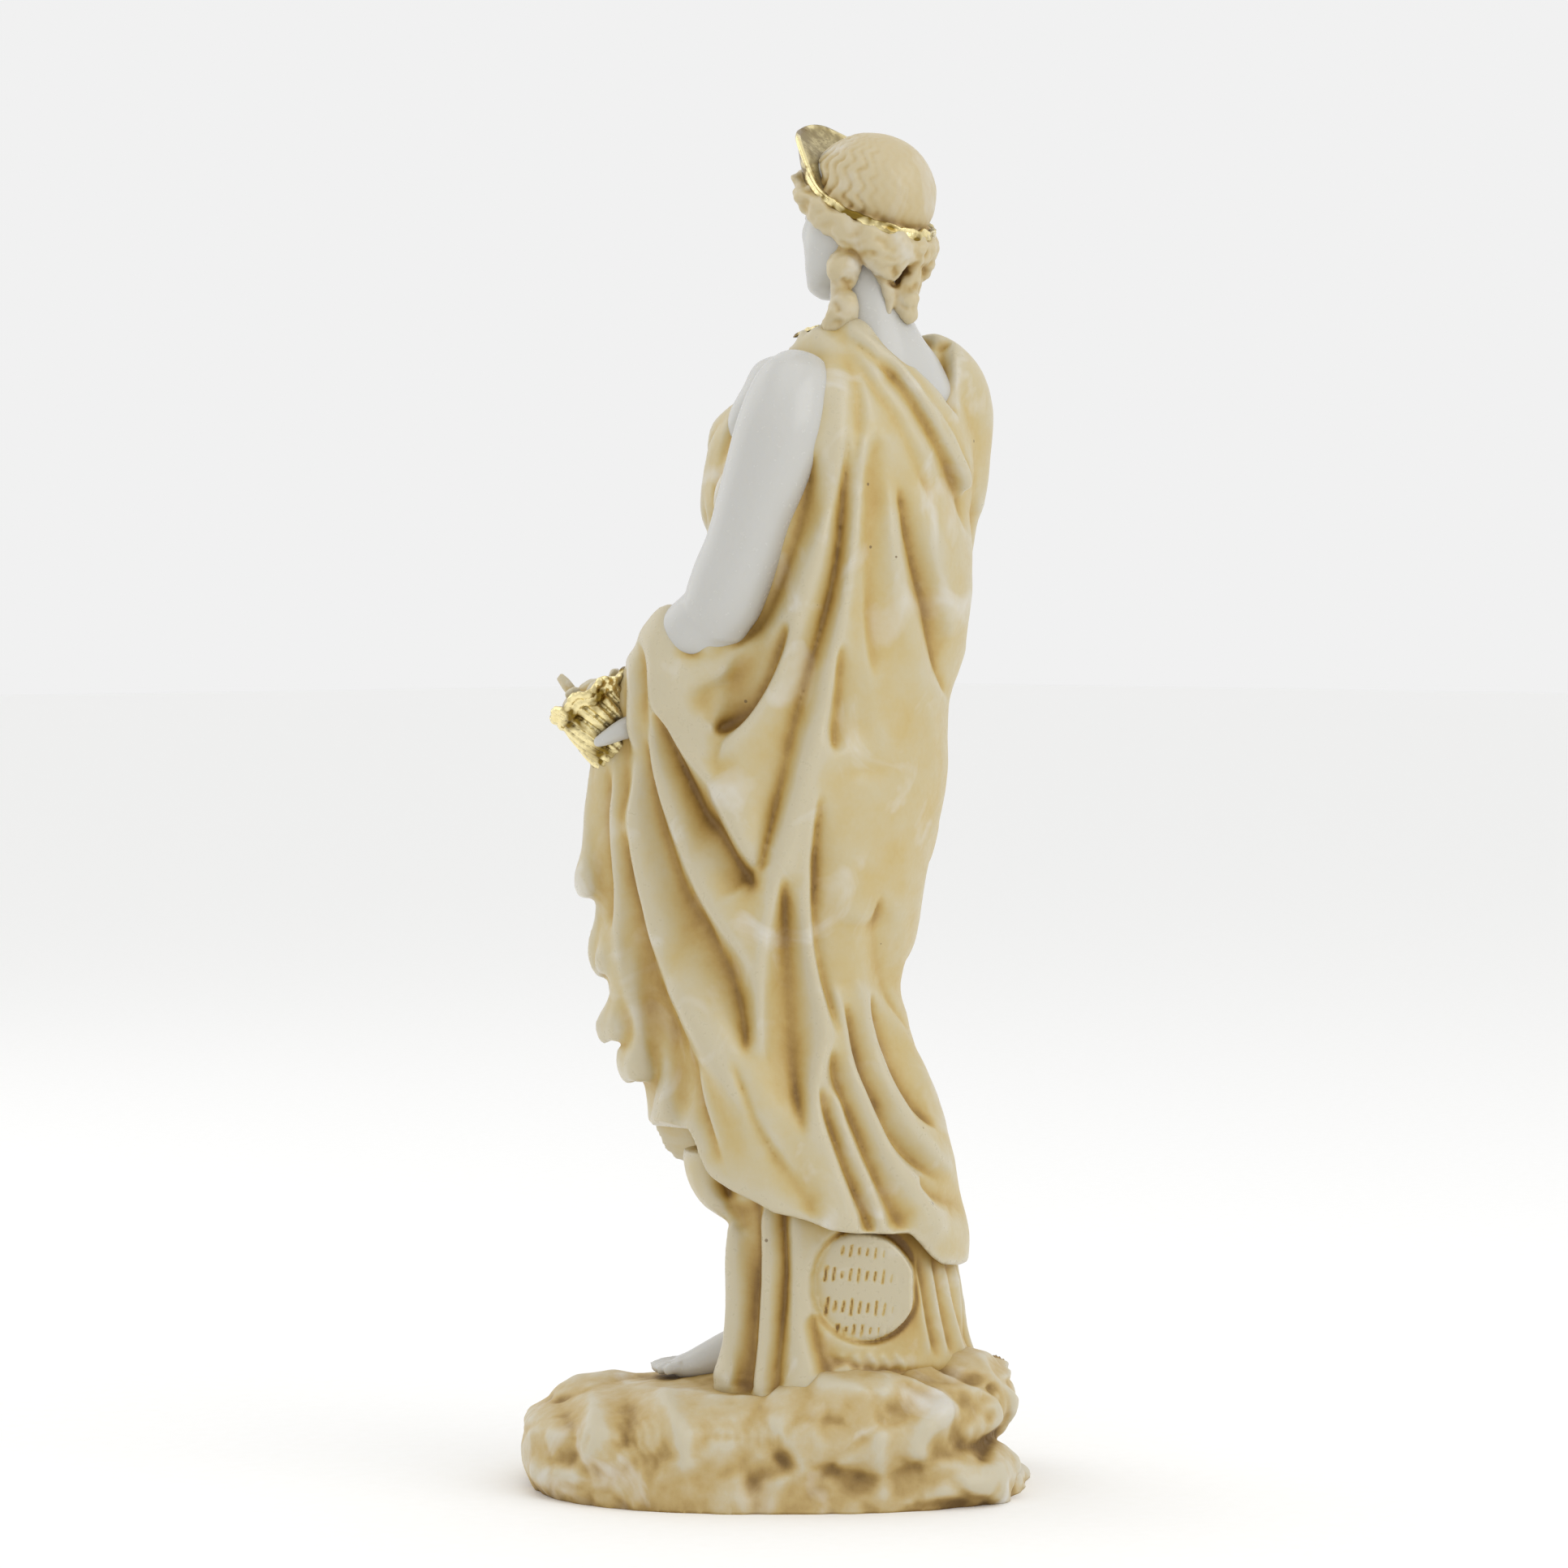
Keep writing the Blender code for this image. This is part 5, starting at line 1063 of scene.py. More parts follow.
def makeFace():
    h = head
    parts = [drawn("face", h["face"], level=True, rings=60),
             drawn("nose", h["nose"], side=(0, 1, 0), around=20, rings=24)]
    for centre, radii in h["features"]:
        parts.append(ball("feature", centre, radii))
    mesh = fused("head", parts + bothSides(h["paired"]), h["voxel"])
    soften(mesh, h["softening"])
    cut = carved(elevation(coords(mesh), (0, 1, 0)), browStrokes + mirrored(browStrokes) + mouthStrokes)
    pushOut(mesh, cut * smooth(0.1, 0.7, normals(mesh)[:, 0]))
    mesh = fused("head", [mesh] + bothSides(h["eyes"]), h["voxel"])
    soften(mesh, 2)
    cut = carved(elevation(coords(mesh), (0, 1, 0)), lidStrokes + mirrored(lidStrokes))
    pushOut(mesh, cut * smooth(0, 0.5, normals(mesh)[:, 0]))
    keep("head", onHead(mesh), "skin", h["voxel"], 90000)


def bandHeight(p):
    # the middle of the band all round, at half-depth 13.2 and half-width 12
    return band["low"] + band["rise"] * p[:, 0] / 13.2 - band["droop"] * np.clip(p[:, 1] / 12, -1, 1) ** 2


def crestShare(turn):
    # 1 over the brow, falling to 0 behind the ears
    return smooth(1.45, 0.75, np.abs(turn))


def hairMasses():
    # the cap is pressed in under the band, and a roll and a nape piece go on at each side
    h = hair
    cap = ball("cap", *h["cap"], rings=60)
    p = coords(cap)
    p[:, 2] -= np.minimum(p[:, 2] - bandHeight(p) + 0.5, 0) * 0.85
    setCoords(cap, p)
    parts = [cap]
    for side in (-1, 1):
        mirror = (1, side, 1, 1, 1)
        parts.append(drawn("roll", np.array(h["roll"]) * mirror, side=upward, around=36, rings=150,
                           twist=(0.09, side * 7.5, 1)))
        parts.append(drawn("nape", np.array(h["nape"]) * mirror, side=upward, around=24, rings=20))
    return parts


def makeHair():
    h = hair
    mesh = fused("hair", hairMasses(), h["voxel"])
    soften(mesh, 3)
    p = coords(mesh)
    # wavy strands run from the crown down to the band, calmer at the back
    q = p - h["crown"]
    turn = np.arctan2(q[:, 1], q[:, 0])
    drop = np.arccos(np.clip(q[:, 2] / np.linalg.norm(q, axis=1), -1, 1))
    bend = drop * h["wave"] + 2.2 * np.sin(turn * 2) + 2.6 * noisy(p, 6.0, 4.4, 1)
    even, astray = h["sway"]
    sway = even * np.sin(bend) / np.maximum(np.sin(drop), 0.35) + astray * noisy(p, 6.0, 1.7, 1)
    strand = np.abs(np.sin((turn + sway) * h["strands"] / 2))
    lost, way = h["calm"]
    calm = 1 - lost * smooth(-0.1, 0.9, np.cos(turn - way))
    over = p[:, 2] - bandHeight(p)
    onCap = smooth(-1.2, 0.4, over)
    groove = h["strandDepth"] * np.exp(-((strand / h["grooveWidth"]) ** 2)) - 0.3
    patchy = 0.75 + 0.7 * noisy(p, 4.5, 6.0, 1)
    lift = -groove * patchy * smooth(0.1, 0.45, drop) * calm * onCap
    # smoother curls over the rolls, lumpy only toward the brow
    toBrow = smooth(-3, 8, p[:, 0])
    curl = (0.3 + 0.6 * toBrow) * noisy(p, 2.6, 0.0, 1) + (0.16 + 0.14 * toBrow) * noisy(p, 1.3, 7.0, 2)
    comb = 0.14 * np.sin(p[:, 2] * 2.4 + 2.2 * np.sin(turn * 9) + 4 * noisy(p, 5.0, 3.0, 1))
    lift = lift + (curl + comb) * (1 - onCap)
    # the hair dips where the crest stands off it
    around = np.arctan2(p[:, 1], p[:, 0])
    lift = lift - h["gap"] * crestShare(around) ** 0.6 * smooth(4.6, 2.2, over) * onCap
    pushOut(mesh, lift)
    parts = [onHead(mesh)]
    for twist, rows in h["locks"]:
        parts.append(drawn("lock", rows, around=32, rings=70, twist=twist))
    parts.append(ball("fill", *h["napeFill"]))
    mesh = fused("hair", parts, h["voxel"])
    p = coords(mesh)
    behind = smooth(0, 0.4, normals(mesh) @ toSculptor)
    lift = 0.2 * noisy(p, 1.2, 5.0, 2) * smooth(240, 236, p[:, 2])
    pushOut(mesh, lift + carved(backElevation(p), h["hollows"]) * behind)
    soften(mesh, 2)
    keep("hair", mesh, "hair", h["voxel"], 150000)


def makeDiadem():
    # a band round the head with a tall crest in front, ragged behind where gilding ran over the hair
    b = band
    bm = bmesh.new()
    bmesh.ops.create_grid(bm, x_segments=320, y_segments=42, size=1)
    mesh = meshOf("diadem", bm)
    grid = coords(mesh)
    turn = grid[:, 0] * math.pi
    v = (grid[:, 1] + 1) / 2
    front = crestShare(turn + b["crestTurn"])
    behind = smooth(1.1, 1.7, np.abs(turn))
    ring = np.stack([np.cos(turn) * 9, np.sin(turn) * 9, turn * 0 + 3], 1)
    lowEdge, highEdge = b["height"]
    raggedLow, raggedHigh, lumpy = b["ragged"]
    low = lowEdge - raggedLow * noisy(ring, 2.0, 0.0, 3) * behind
    tall = b["crest"] + b["skew"] * smooth(0.3, -0.5, turn)
    high = highEdge + tall * front + raggedHigh * noisy(ring, 1.8, 9.0, 3) * behind
    # the section: up the outer face, over the rim, and down a hollow back face into the hair
    rim = b["rim"]
    shares, steps = np.array(b["section"]).T
    at = np.linspace(0, rim, len(shares))
    up = low + (high - low) * np.interp(v, at, shares)
    out = np.interp(v, at, steps) + b["lean"] * np.clip(up - 1, 0, None)
    back = smooth(rim, 1.0, v) ** 0.8
    footUp = high * (0.6 - 0.25 * front)
    footOut = -1.2 - 2.4 * front**0.6
    up = np.where(v > rim, up + (footUp - up) * back, up)
    out = np.where(v > rim, out + (footOut - out) * back**1.4, out)
    up = np.where(v > 0.985, low, up)        # the last row closes the section underneath
    lump = lumpy * noisy(ring + np.stack([v * 5, v * 0, v * 4], 1), 0.8, 4.0, 3) * behind
    out = out + (lump + 0.3 * behind) * np.sin(np.clip(v / 0.7, 0, 1) * math.pi)
    reachAhead, reachAside = b["reach"]
    reachAhead = reachAhead - 0.9 * smooth(1.7, 2.8, np.abs(turn))
    level = b["low"] + b["rise"] * np.cos(turn) - b["droop"] * np.sin(turn) ** 2
    setCoords(mesh, np.stack([
        (reachAhead + out) * np.cos(turn) - 0.4, (reachAside + out) * np.sin(turn), level + up,
    ], 1))
    addShare(mesh, "worn", smooth(0.6, 0.68, v) * front)
    bm = bmesh.new()
    bm.from_mesh(mesh)
    bmesh.ops.remove_doubles(bm, verts=bm.verts, dist=0.02)
    bmesh.ops.holes_fill(bm, edges=[edge for edge in bm.edges if edge.is_boundary], sides=0)
    bmesh.ops.recalc_face_normals(bm, faces=bm.faces)
    mesh = onHead(meshOf("diadem", bm))
    soften(mesh, 1)
    keep("diadem", mesh, "gilding")


# a thin gilt clasp on top of the left shoulder, tilted with the cloth
brooch = {
    "centre": (4.4, -3.6, 220.5),
    "radii": (2.7, 2.3, 0.5),
    "petals": (8, 0.18),
    "boss": 0.35,
    "tilt": 0.38,
}


def makeBrooch():
    x, y, z = brooch["centre"]
    wide, deep, thick = brooch["radii"]
    mesh = ball("brooch", (x, y, z), (wide, deep, thick), rings=40)
    p = coords(mesh)
    r = np.hypot((p[:, 0] - x) / wide, (p[:, 1] - y) / deep)
    turn = np.arctan2(p[:, 1] - y, p[:, 0] - x)
    count, height = brooch["petals"]
    petals = height * np.cos(turn * count) * smooth(0.2, 0.6, r) * smooth(1.0, 0.85, r)
    boss = brooch["boss"] * np.exp(-((r / 0.22) ** 2))
    p[:, 2] += (petals + boss) * (p[:, 2] > z) + brooch["tilt"] * (p[:, 0] - x)
    setCoords(mesh, p)
    keep("brooch", mesh, "gilding")


# The rock, sawn flat underneath
rock = {
    "voxel": 0.62,
    "softening": 3,
    "sides": [
        # height, left edge and right edge as the sculptor sees them
        (26.0, -4.0, 30.0), (23.6, -13.0, 39.5), (21.2, -34.0, 40.8), (18.4, -42.0, 40.6),
        (13.8, -49.9, 40.2), (9.5, -50.8, 39.4), (5.0, -50.8, 40.6), (2.6, -49.6, 46.0),
        (-1.0, -47.0, 47.0), (-4.0, -46.0, 46.0),
    ],
    "depth": 39,              # half of it, at the most
    "depthShare": 0.84,       # and as a share of the width
    "farFall": 4.2,           # how far the top falls away toward the far left corner
    "boulders": [
        # centre, radii, turn
        ((-32, 6, 12), (16, 15, 10.5), 0.3), ((-24, 27, 12.4), (16, 13, 9), 0.2),
        ((-19.5, 25, 16.5), (7, 7.6, 7.4), 0.1), ((-18.5, 12, 14), (16, 15, 7.2), 0.1),
        ((24, -10, 15.5), (18.5, 12, 11), 0.15), ((32, 1, 18), (13.4, 14, 10), 0.0),
        ((28, 27, 13), (15, 15, 10), 0.4), ((6, 38, 13), (19, 10, 9), 0.0),
        ((13, -18, 14.5), (22, 12, 12), 0.1), ((-10, -12, 9), (26, 15.5, 12.5), -0.1),
        ((-31, -6, 7.5), (17.4, 17, 12), -0.3), ((20, -10, 4), (26, 19, 11), 0.1),
    ],
    "hewnFaces": 22,          # flat faces tried round each boulder,
    "hewnReach": (0.86, 0.99),       # at these shares of its radius
    "furrows": (0.12, [((-27, 13), (7, 5)), ((-6, 14.5), (9, 2.6))]),     # depth; middles and sizes
}

rockStrokes = [
    # height, width, path of (across, up)
    (-1.6, 3.2, [(-43.5, 20), (-41, 12), (-42, 3)]), (1.4, 2.6, [(-37, 22), (-36, 14), (-39, 4)]),
    (-1.4, 2.6, [(-31, 24), (-30, 14), (-32, 6)]), (1.6, 2.8, [(-24, 22), (-20, 12), (-18, 2)]),
    (1.3, 2.4, [(-4, 16), (0.5, 10), (3.4, 5), (-5, 1.5)]), (-0.8, 2.6, [(-2, 9), (0, 5.5), (-9, 2)]),
    (1.6, 2.6, [(4, 21.6), (14, 19.6), (22, 18)]), (-0.8, 2.6, [(6, 15), (13, 12.6), (17, 8)]),
    (1.0, 2.2, [(17.6, 14), (18.6, 6), (19.2, -3)]), (1.6, 2.4, [(33, 18), (27, 12), (24.6, 5)]),
    (-0.9, 1.8, [(40, 17), (38.5, 10), (37.5, 5)]),
]


def hewn(centre, radii, turn, seed):
    # a boulder with flat faces struck off it
    mesh = ball("boulder", (0, 0, 0), (1, 1, 1), 0, rings=48)
    chance = np.random.default_rng(seed)
    faces = chance.normal(size=(rock["hewnFaces"], 3))
    faces = faces / np.linalg.norm(faces, axis=1)[:, None]
    reach = chance.uniform(*rock["hewnReach"], rock["hewnFaces"])
    p = coords(mesh)
    p = p * np.minimum((reach / np.maximum(p @ faces.T, 0.01)).min(1), 1)[:, None] * radii
    c, s = math.cos(turn), math.sin(turn)
    setCoords(mesh, np.stack([p[:, 0] * c - p[:, 1] * s, p[:, 0] * s + p[:, 1] * c, p[:, 2]], 1) + centre)
    return mesh


def makeRock():
    r = rock
    rows = []
    for z, left, right in r["sides"]:
        half = (right - left) / 2
        deep = min(r["depth"], half * r["depthShare"])
        rows.append(((left + right) / 2, stand["middle"][1], z, half, deep))
    parts = [drawn("rock", rows, level=True, around=120, rings=60, power=2.5)]
    for number, (centre, radii, turn) in enumerate(r["boulders"]):
        parts.append(hewn(centre, radii, turn, 7 + number))
    mesh = fused("rockBase", parts, r["voxel"])
    soften(mesh, r["softening"])
    p = coords(mesh)
    p[:, 2] -= r["farFall"] * smooth(6, 24, p[:, 1]) * smooth(-14, -27, p[:, 0]) * smooth(10, 20, p[:, 2])
    setCoords(mesh, p)
    n = normals(mesh)
    x, _, z = p.T
    seen = smooth(-0.1, 0.4, n @ toSculptor)
    lift = carved(backElevation(p), rockStrokes) * seen
    # broad broken planes and small chips, on the sides that turn away more than on the near one
    steep = smooth(0.85, 0.3, n[:, 2])
    broad = smooth(0, 0.5, cellular(p / (24, 24, 30) + (3.3, 0, 0)))
    lift = lift + (1.2 * broad - 0.8) * (1 - 0.6 * seen) * (0.4 + 0.6 * steep)
    chips = smooth(0, 0.4, cellular(p / (9, 9, 10) + (9, 0, 0)))
    lift = lift + 0.5 * (chips - 0.7) * (0.3 + 0.7 * steep)
    lift = lift + 0.9 * noisy(p, 19, 3, 2) * (1 - 0.6 * seen) + 0.25 * noisy(p, 4.5, 5, 2)
    # furrows left by a point chisel, in two patches under the step
    depth, patches = r["furrows"]
    patchy = 0
    for (middle, level), (wide, tall) in patches:
        patchy = patchy + np.exp(-(((x - middle) / wide) ** 2) - ((z - level) / tall) ** 2)
    lift = lift + depth * patchy * seen * np.sin(x * 3.2 + z * 1.4 + 1.5 * np.sin(z * 1.1))
    setCoords(mesh, p + n * lift[:, None])
    soften(mesh, 1)
    addPatinaPlaces(mesh, r["voxel"])
    bm = bmesh.new()
    bm.from_mesh(mesh)
    cut = bmesh.ops.bisect_plane(bm, geom=bm.verts[:] + bm.edges[:] + bm.faces[:], clear_outer=True,
                                 plane_co=(0, 0, stand["sawHeight"]), plane_no=(0, 0, -1))
    rim = [edge for edge in cut["geom_cut"] if isinstance(edge, bmesh.types.BMEdge)]
    bmesh.ops.edgeloop_fill(bm, edges=rim)
    bmesh.ops.triangulate(bm, faces=bm.faces)
    bmesh.ops.recalc_face_normals(bm, faces=bm.faces)
    keep("rockBase", meshOf("rockBase", bm), "rock", triangles=150000)


# The horn of plenty in the left hand
horn = {
    "mouth": np.array([-36.3, 2.6, 151.8]),
    "axis": unit([0.5, -0.14, -0.86]),
    "spine": [
        # along the axis, then a step aside (x, y, z), radius
        (0, (0, 0, 0), 8.5), (6, (0, 1.2, 0), 7.9), (13, (0, 4, 0), 6.7), (20, (0.5, 8.4, 0.5), 5.2),
        (26, (1, 13.3, 2.5), 3.6), (30, (0.6, 18.6, 6), 2.2), (31, (-2.4, 21.9, 8.6), 1.2),
    ],
    "voxel": 0.3,
    "staves": 19,
    "staveTurn": 0.05,        # how they wind, in radians a millimetre
    "notches": 5.4,           # how close the notches across them are, in radians a millimetre
    "rims": ((0.2, 0.9), (2.0, 0.65)),       # along the horn, thickness
    "rimRadius": 8.7,
    "beads": 40,              # round each rim
    "scallops": (9, 0.55),    # round each rim, and how deep
    "fruit": [
        # degrees round the mouth, distance from its middle, rise, radius
        (0, 0, -1.4, 4.4), (10, 4.9, -1.2, 2.9), (75, 5.0, -1.2, 2.7), (140, 4.9, -1.2, 3.0),
        (205, 5.0, -1.2, 2.7), (265, 4.9, -1.2, 2.9), (320, 5.0, -1.0, 2.8),
    ],
    # degrees round the mouth, distance from its middle, height
    "petals": [(150, 3.4, 6.2), (120, 5.5, 2.4), (240, 6.0, 2.4), (20, 5.5, 2.0), (300, 5.0, 2.4)],
}
hornWide = unit(np.cross(horn["axis"], (0, 1.0, 0)))
hornDeep = np.cross(horn["axis"], hornWide)


def hornRim(step, r):
    # a beaded ring that waves along the horn
    h = horn
    bm = bmesh.new()
    bmesh.ops.create_circle(bm, segments=20, radius=r)
    bmesh.ops.rotate(bm, verts=bm.verts, cent=(0, 0, 0), matrix=Matrix.Rotation(math.pi / 2, 3, "X"))
    bmesh.ops.translate(bm, verts=bm.verts, vec=(h["rimRadius"] - step * 0.2, 0, 0))
    bmesh.ops.spin(bm, geom=bm.edges[:] + bm.verts[:], cent=(0, 0, 0), axis=(0, 0, 1),
                   angle=2 * math.pi, steps=180, use_merge=True)
    bmesh.ops.recalc_face_normals(bm, faces=bm.faces)
    rim = meshOf("rim", bm)
    p = coords(rim)
    turn = np.arctan2(p[:, 1], p[:, 0])
    scallops, deep = h["scallops"]
    p[:, 2] = p[:, 2] * (1 + 0.08 * np.sin(turn * h["beads"])) + deep * np.sin(turn * scallops) + step
    p[:, :2] *= (1 + 0.02 * np.sin(turn * h["beads"] + 1.5))[:, None]
    setCoords(rim, h["mouth"] + p[:, :1] * hornWide + p[:, 1:2] * hornDeep + p[:, 2:3] * h["axis"])
    return rim


def makeHorn():
    h = horn
    rows = [(*(h["mouth"] + h["axis"] * along + step), r, r) for along, step, r in h["spine"]]
    mesh = drawn("horn", rows, side=hornWide, around=208, rings=260)
    # staves wind a little as they run down the horn, each one notched across
    q = coords(mesh) - h["mouth"]
    down = q @ h["axis"]
    turn = np.arctan2(q @ hornDeep, q @ hornWide) + down * h["staveTurn"]
    stave = np.abs(np.sin(turn * h["staves"] / 2))
    notch = smooth(-0.3, 0.5, np.sin(down * h["notches"]))
    lift = 0.7 * smooth(0.25, 0.75, stave) - 0.5 - 0.55 * smooth(0.55, 0.3, stave) * notch
    pushOut(mesh, lift * smooth(0.8, 2.2, down))
    mesh = fused("horn", [mesh] + [hornRim(*place) for place in h["rims"]], h["voxel"])
    soften(mesh, 1)
    keep("horn", mesh, "gilding", h["voxel"], 120000)


def makeFruit():
    h = horn
    parts = []
    for degrees, far, rise, r in h["fruit"]:
        a = math.radians(degrees)
        centre = h["mouth"] + (hornWide * math.cos(a) + hornDeep * math.sin(a)) * far - h["axis"] * rise
        parts.append(ball("fruit", centre, (r, r, r)))
    for degrees, far, tall in h["petals"]:
        a = math.radians(degrees)
        lean = hornWide * math.cos(a) + hornDeep * math.sin(a)
        foot = h["mouth"] + lean * far
        parts.append(drawn("petal", [
            (*(foot - h["axis"] * 0.5), 1.1, 0.7),
            (*(foot - h["axis"] * tall * 0.6 + lean * 0.5), 1.8, 0.8),
            (*(foot - h["axis"] * tall + lean), 1.3, 0.6),
        ], side=np.cross(h["axis"], lean), around=20, rings=14))
    mesh = fused("fruit", parts, h["voxel"])
    soften(mesh, 2)
    pushOut(mesh, 0.12 * noisy(coords(mesh), 1.5, 2.0, 2))
    keep("fruit", mesh, "cloth", h["voxel"], 60000)


def srgb(hexColour):
    # an sRGB hex colour as the linear values that a shader reads
    out = []
    for k in (1, 3, 5):
        share = int(hexColour[k:k + 2], 16) / 255
        out.append(share / 12.92 if share <= 0.04045 else ((share + 0.055) / 1.055) ** 2.4)
    return (*out, 1.0)


def perMetre(millimetres):
    # the scale that gives a pattern of this grain size on Object coordinates
    return 1000 / millimetres


def addNode(tree, kind, inputs, out=0, **settings):
    # a node with its settings and links, which gives back the output asked for
    node = tree.nodes.new("ShaderNode" + kind)
    for key, value in settings.items():
        setattr(node, key, value)
    for key, value in inputs.items():
        if isinstance(value, bpy.types.NodeSocket):
            tree.links.new(value, node.inputs[key])
        else:
            node.inputs[key].default_value = value
    return node.outputs[out] if len(node.outputs) else node


def newMaterial(name):
    material = bpy.data.materials.new(name)
    material.use_nodes = True
    tree = material.node_tree
    tree.nodes.clear()
    surface = addNode(tree, "BsdfPrincipled", {})
    addNode(tree, "OutputMaterial", {"Surface": surface})
    return material, tree, surface.node.inputs


# Cast alabaster: crushed stone in a clear binder, cast and rubbed back. It looks like wax-smooth
# stone with a soft edge to every shadow. The ochre wash stays in the folds and is wiped off the
# crests, painted shade darkens it further where the occlusion term finds other surfaces close, and a
# few air bubbles have opened as pin holes. Stops run from bare stone to full wash and painted shade.
alabasterFinishes = {
    "cloth": {
        "name": "castAlabasterOchreWash",
        "stops": [(0.0, "#c3b99d"), (0.18, "#c2b48d"), (0.4, "#c1ac75"), (0.6, "#b99b58"),
                  (0.8, "#a2803d"), (1.0, "#7c5c25")],
        "wash": 0.4, "fromHollow": 0.66, "fromNick": 0.32, "fromShade": 0.4, "cloudy": 0.55,
        "roughness": 0.4, "pits": 1.0, "bump": 0.35, "milky": 1.6,
    },
    "skin": {
        "name": "castAlabasterPolishedWhite",
        "stops": [(0.0, "#c3c2bd"), (0.35, "#c0bdb3"), (0.6, "#b9b093"), (0.82, "#a78e59"),
                  (1.0, "#836434")],
        "wash": 0.12, "fromHollow": 0.7, "fromNick": 0.1, "fromShade": 0.3, "cloudy": 0.08,
        "roughness": 0.34, "pits": 0.3, "bump": 0.12, "milky": 0.0,
    },
    "hair": {
        "name": "castAlabasterWashedHair",
        "stops": [(0.0, "#c3b592"), (0.35, "#bda877"), (0.6, "#ae9157"), (0.82, "#92733a"),
                  (1.0, "#715328")],
        "wash": 0.36, "fromHollow": 0.5, "fromNick": 0.5, "fromShade": 0.25, "cloudy": 0.35,
        "roughness": 0.45, "pits": 0.3, "bump": 0.4, "milky": 1.2,
    },
    "rock": {
        "name": "castAlabasterRoughRock",
        "stops": [(0.0, "#c5bca3"), (0.2, "#c2b189"), (0.44, "#baa067"), (0.7, "#9c7e43"),
                  (1.0, "#715526")],
        "wash": 0.45, "fromHollow": 0.78, "fromNick": 0.34, "fromShade": 0.5, "cloudy": 0.72,
        "roughness": 0.5, "pits": 0.4, "bump": 0.6, "milky": 2.0,
    },
}
# what every finish shares, with lengths in millimetres
alabasterCast = {
    "broad": 24, "cloud": 7, "grain": 1.1, "veins": 15,      # the sizes of the patterns
    "vein": "#d3d0c8",
    "shadeReach": 7,
    "pitSpacing": 4.5, "pitRadius": 0.3375, "pitShare": 0.14, "pitFilling": "#6a5230",
    "ior": 1.52, "scatter": 0.18, "scatterReach": 1.6, "scatterColour": (1.0, 0.8, 0.5),
}


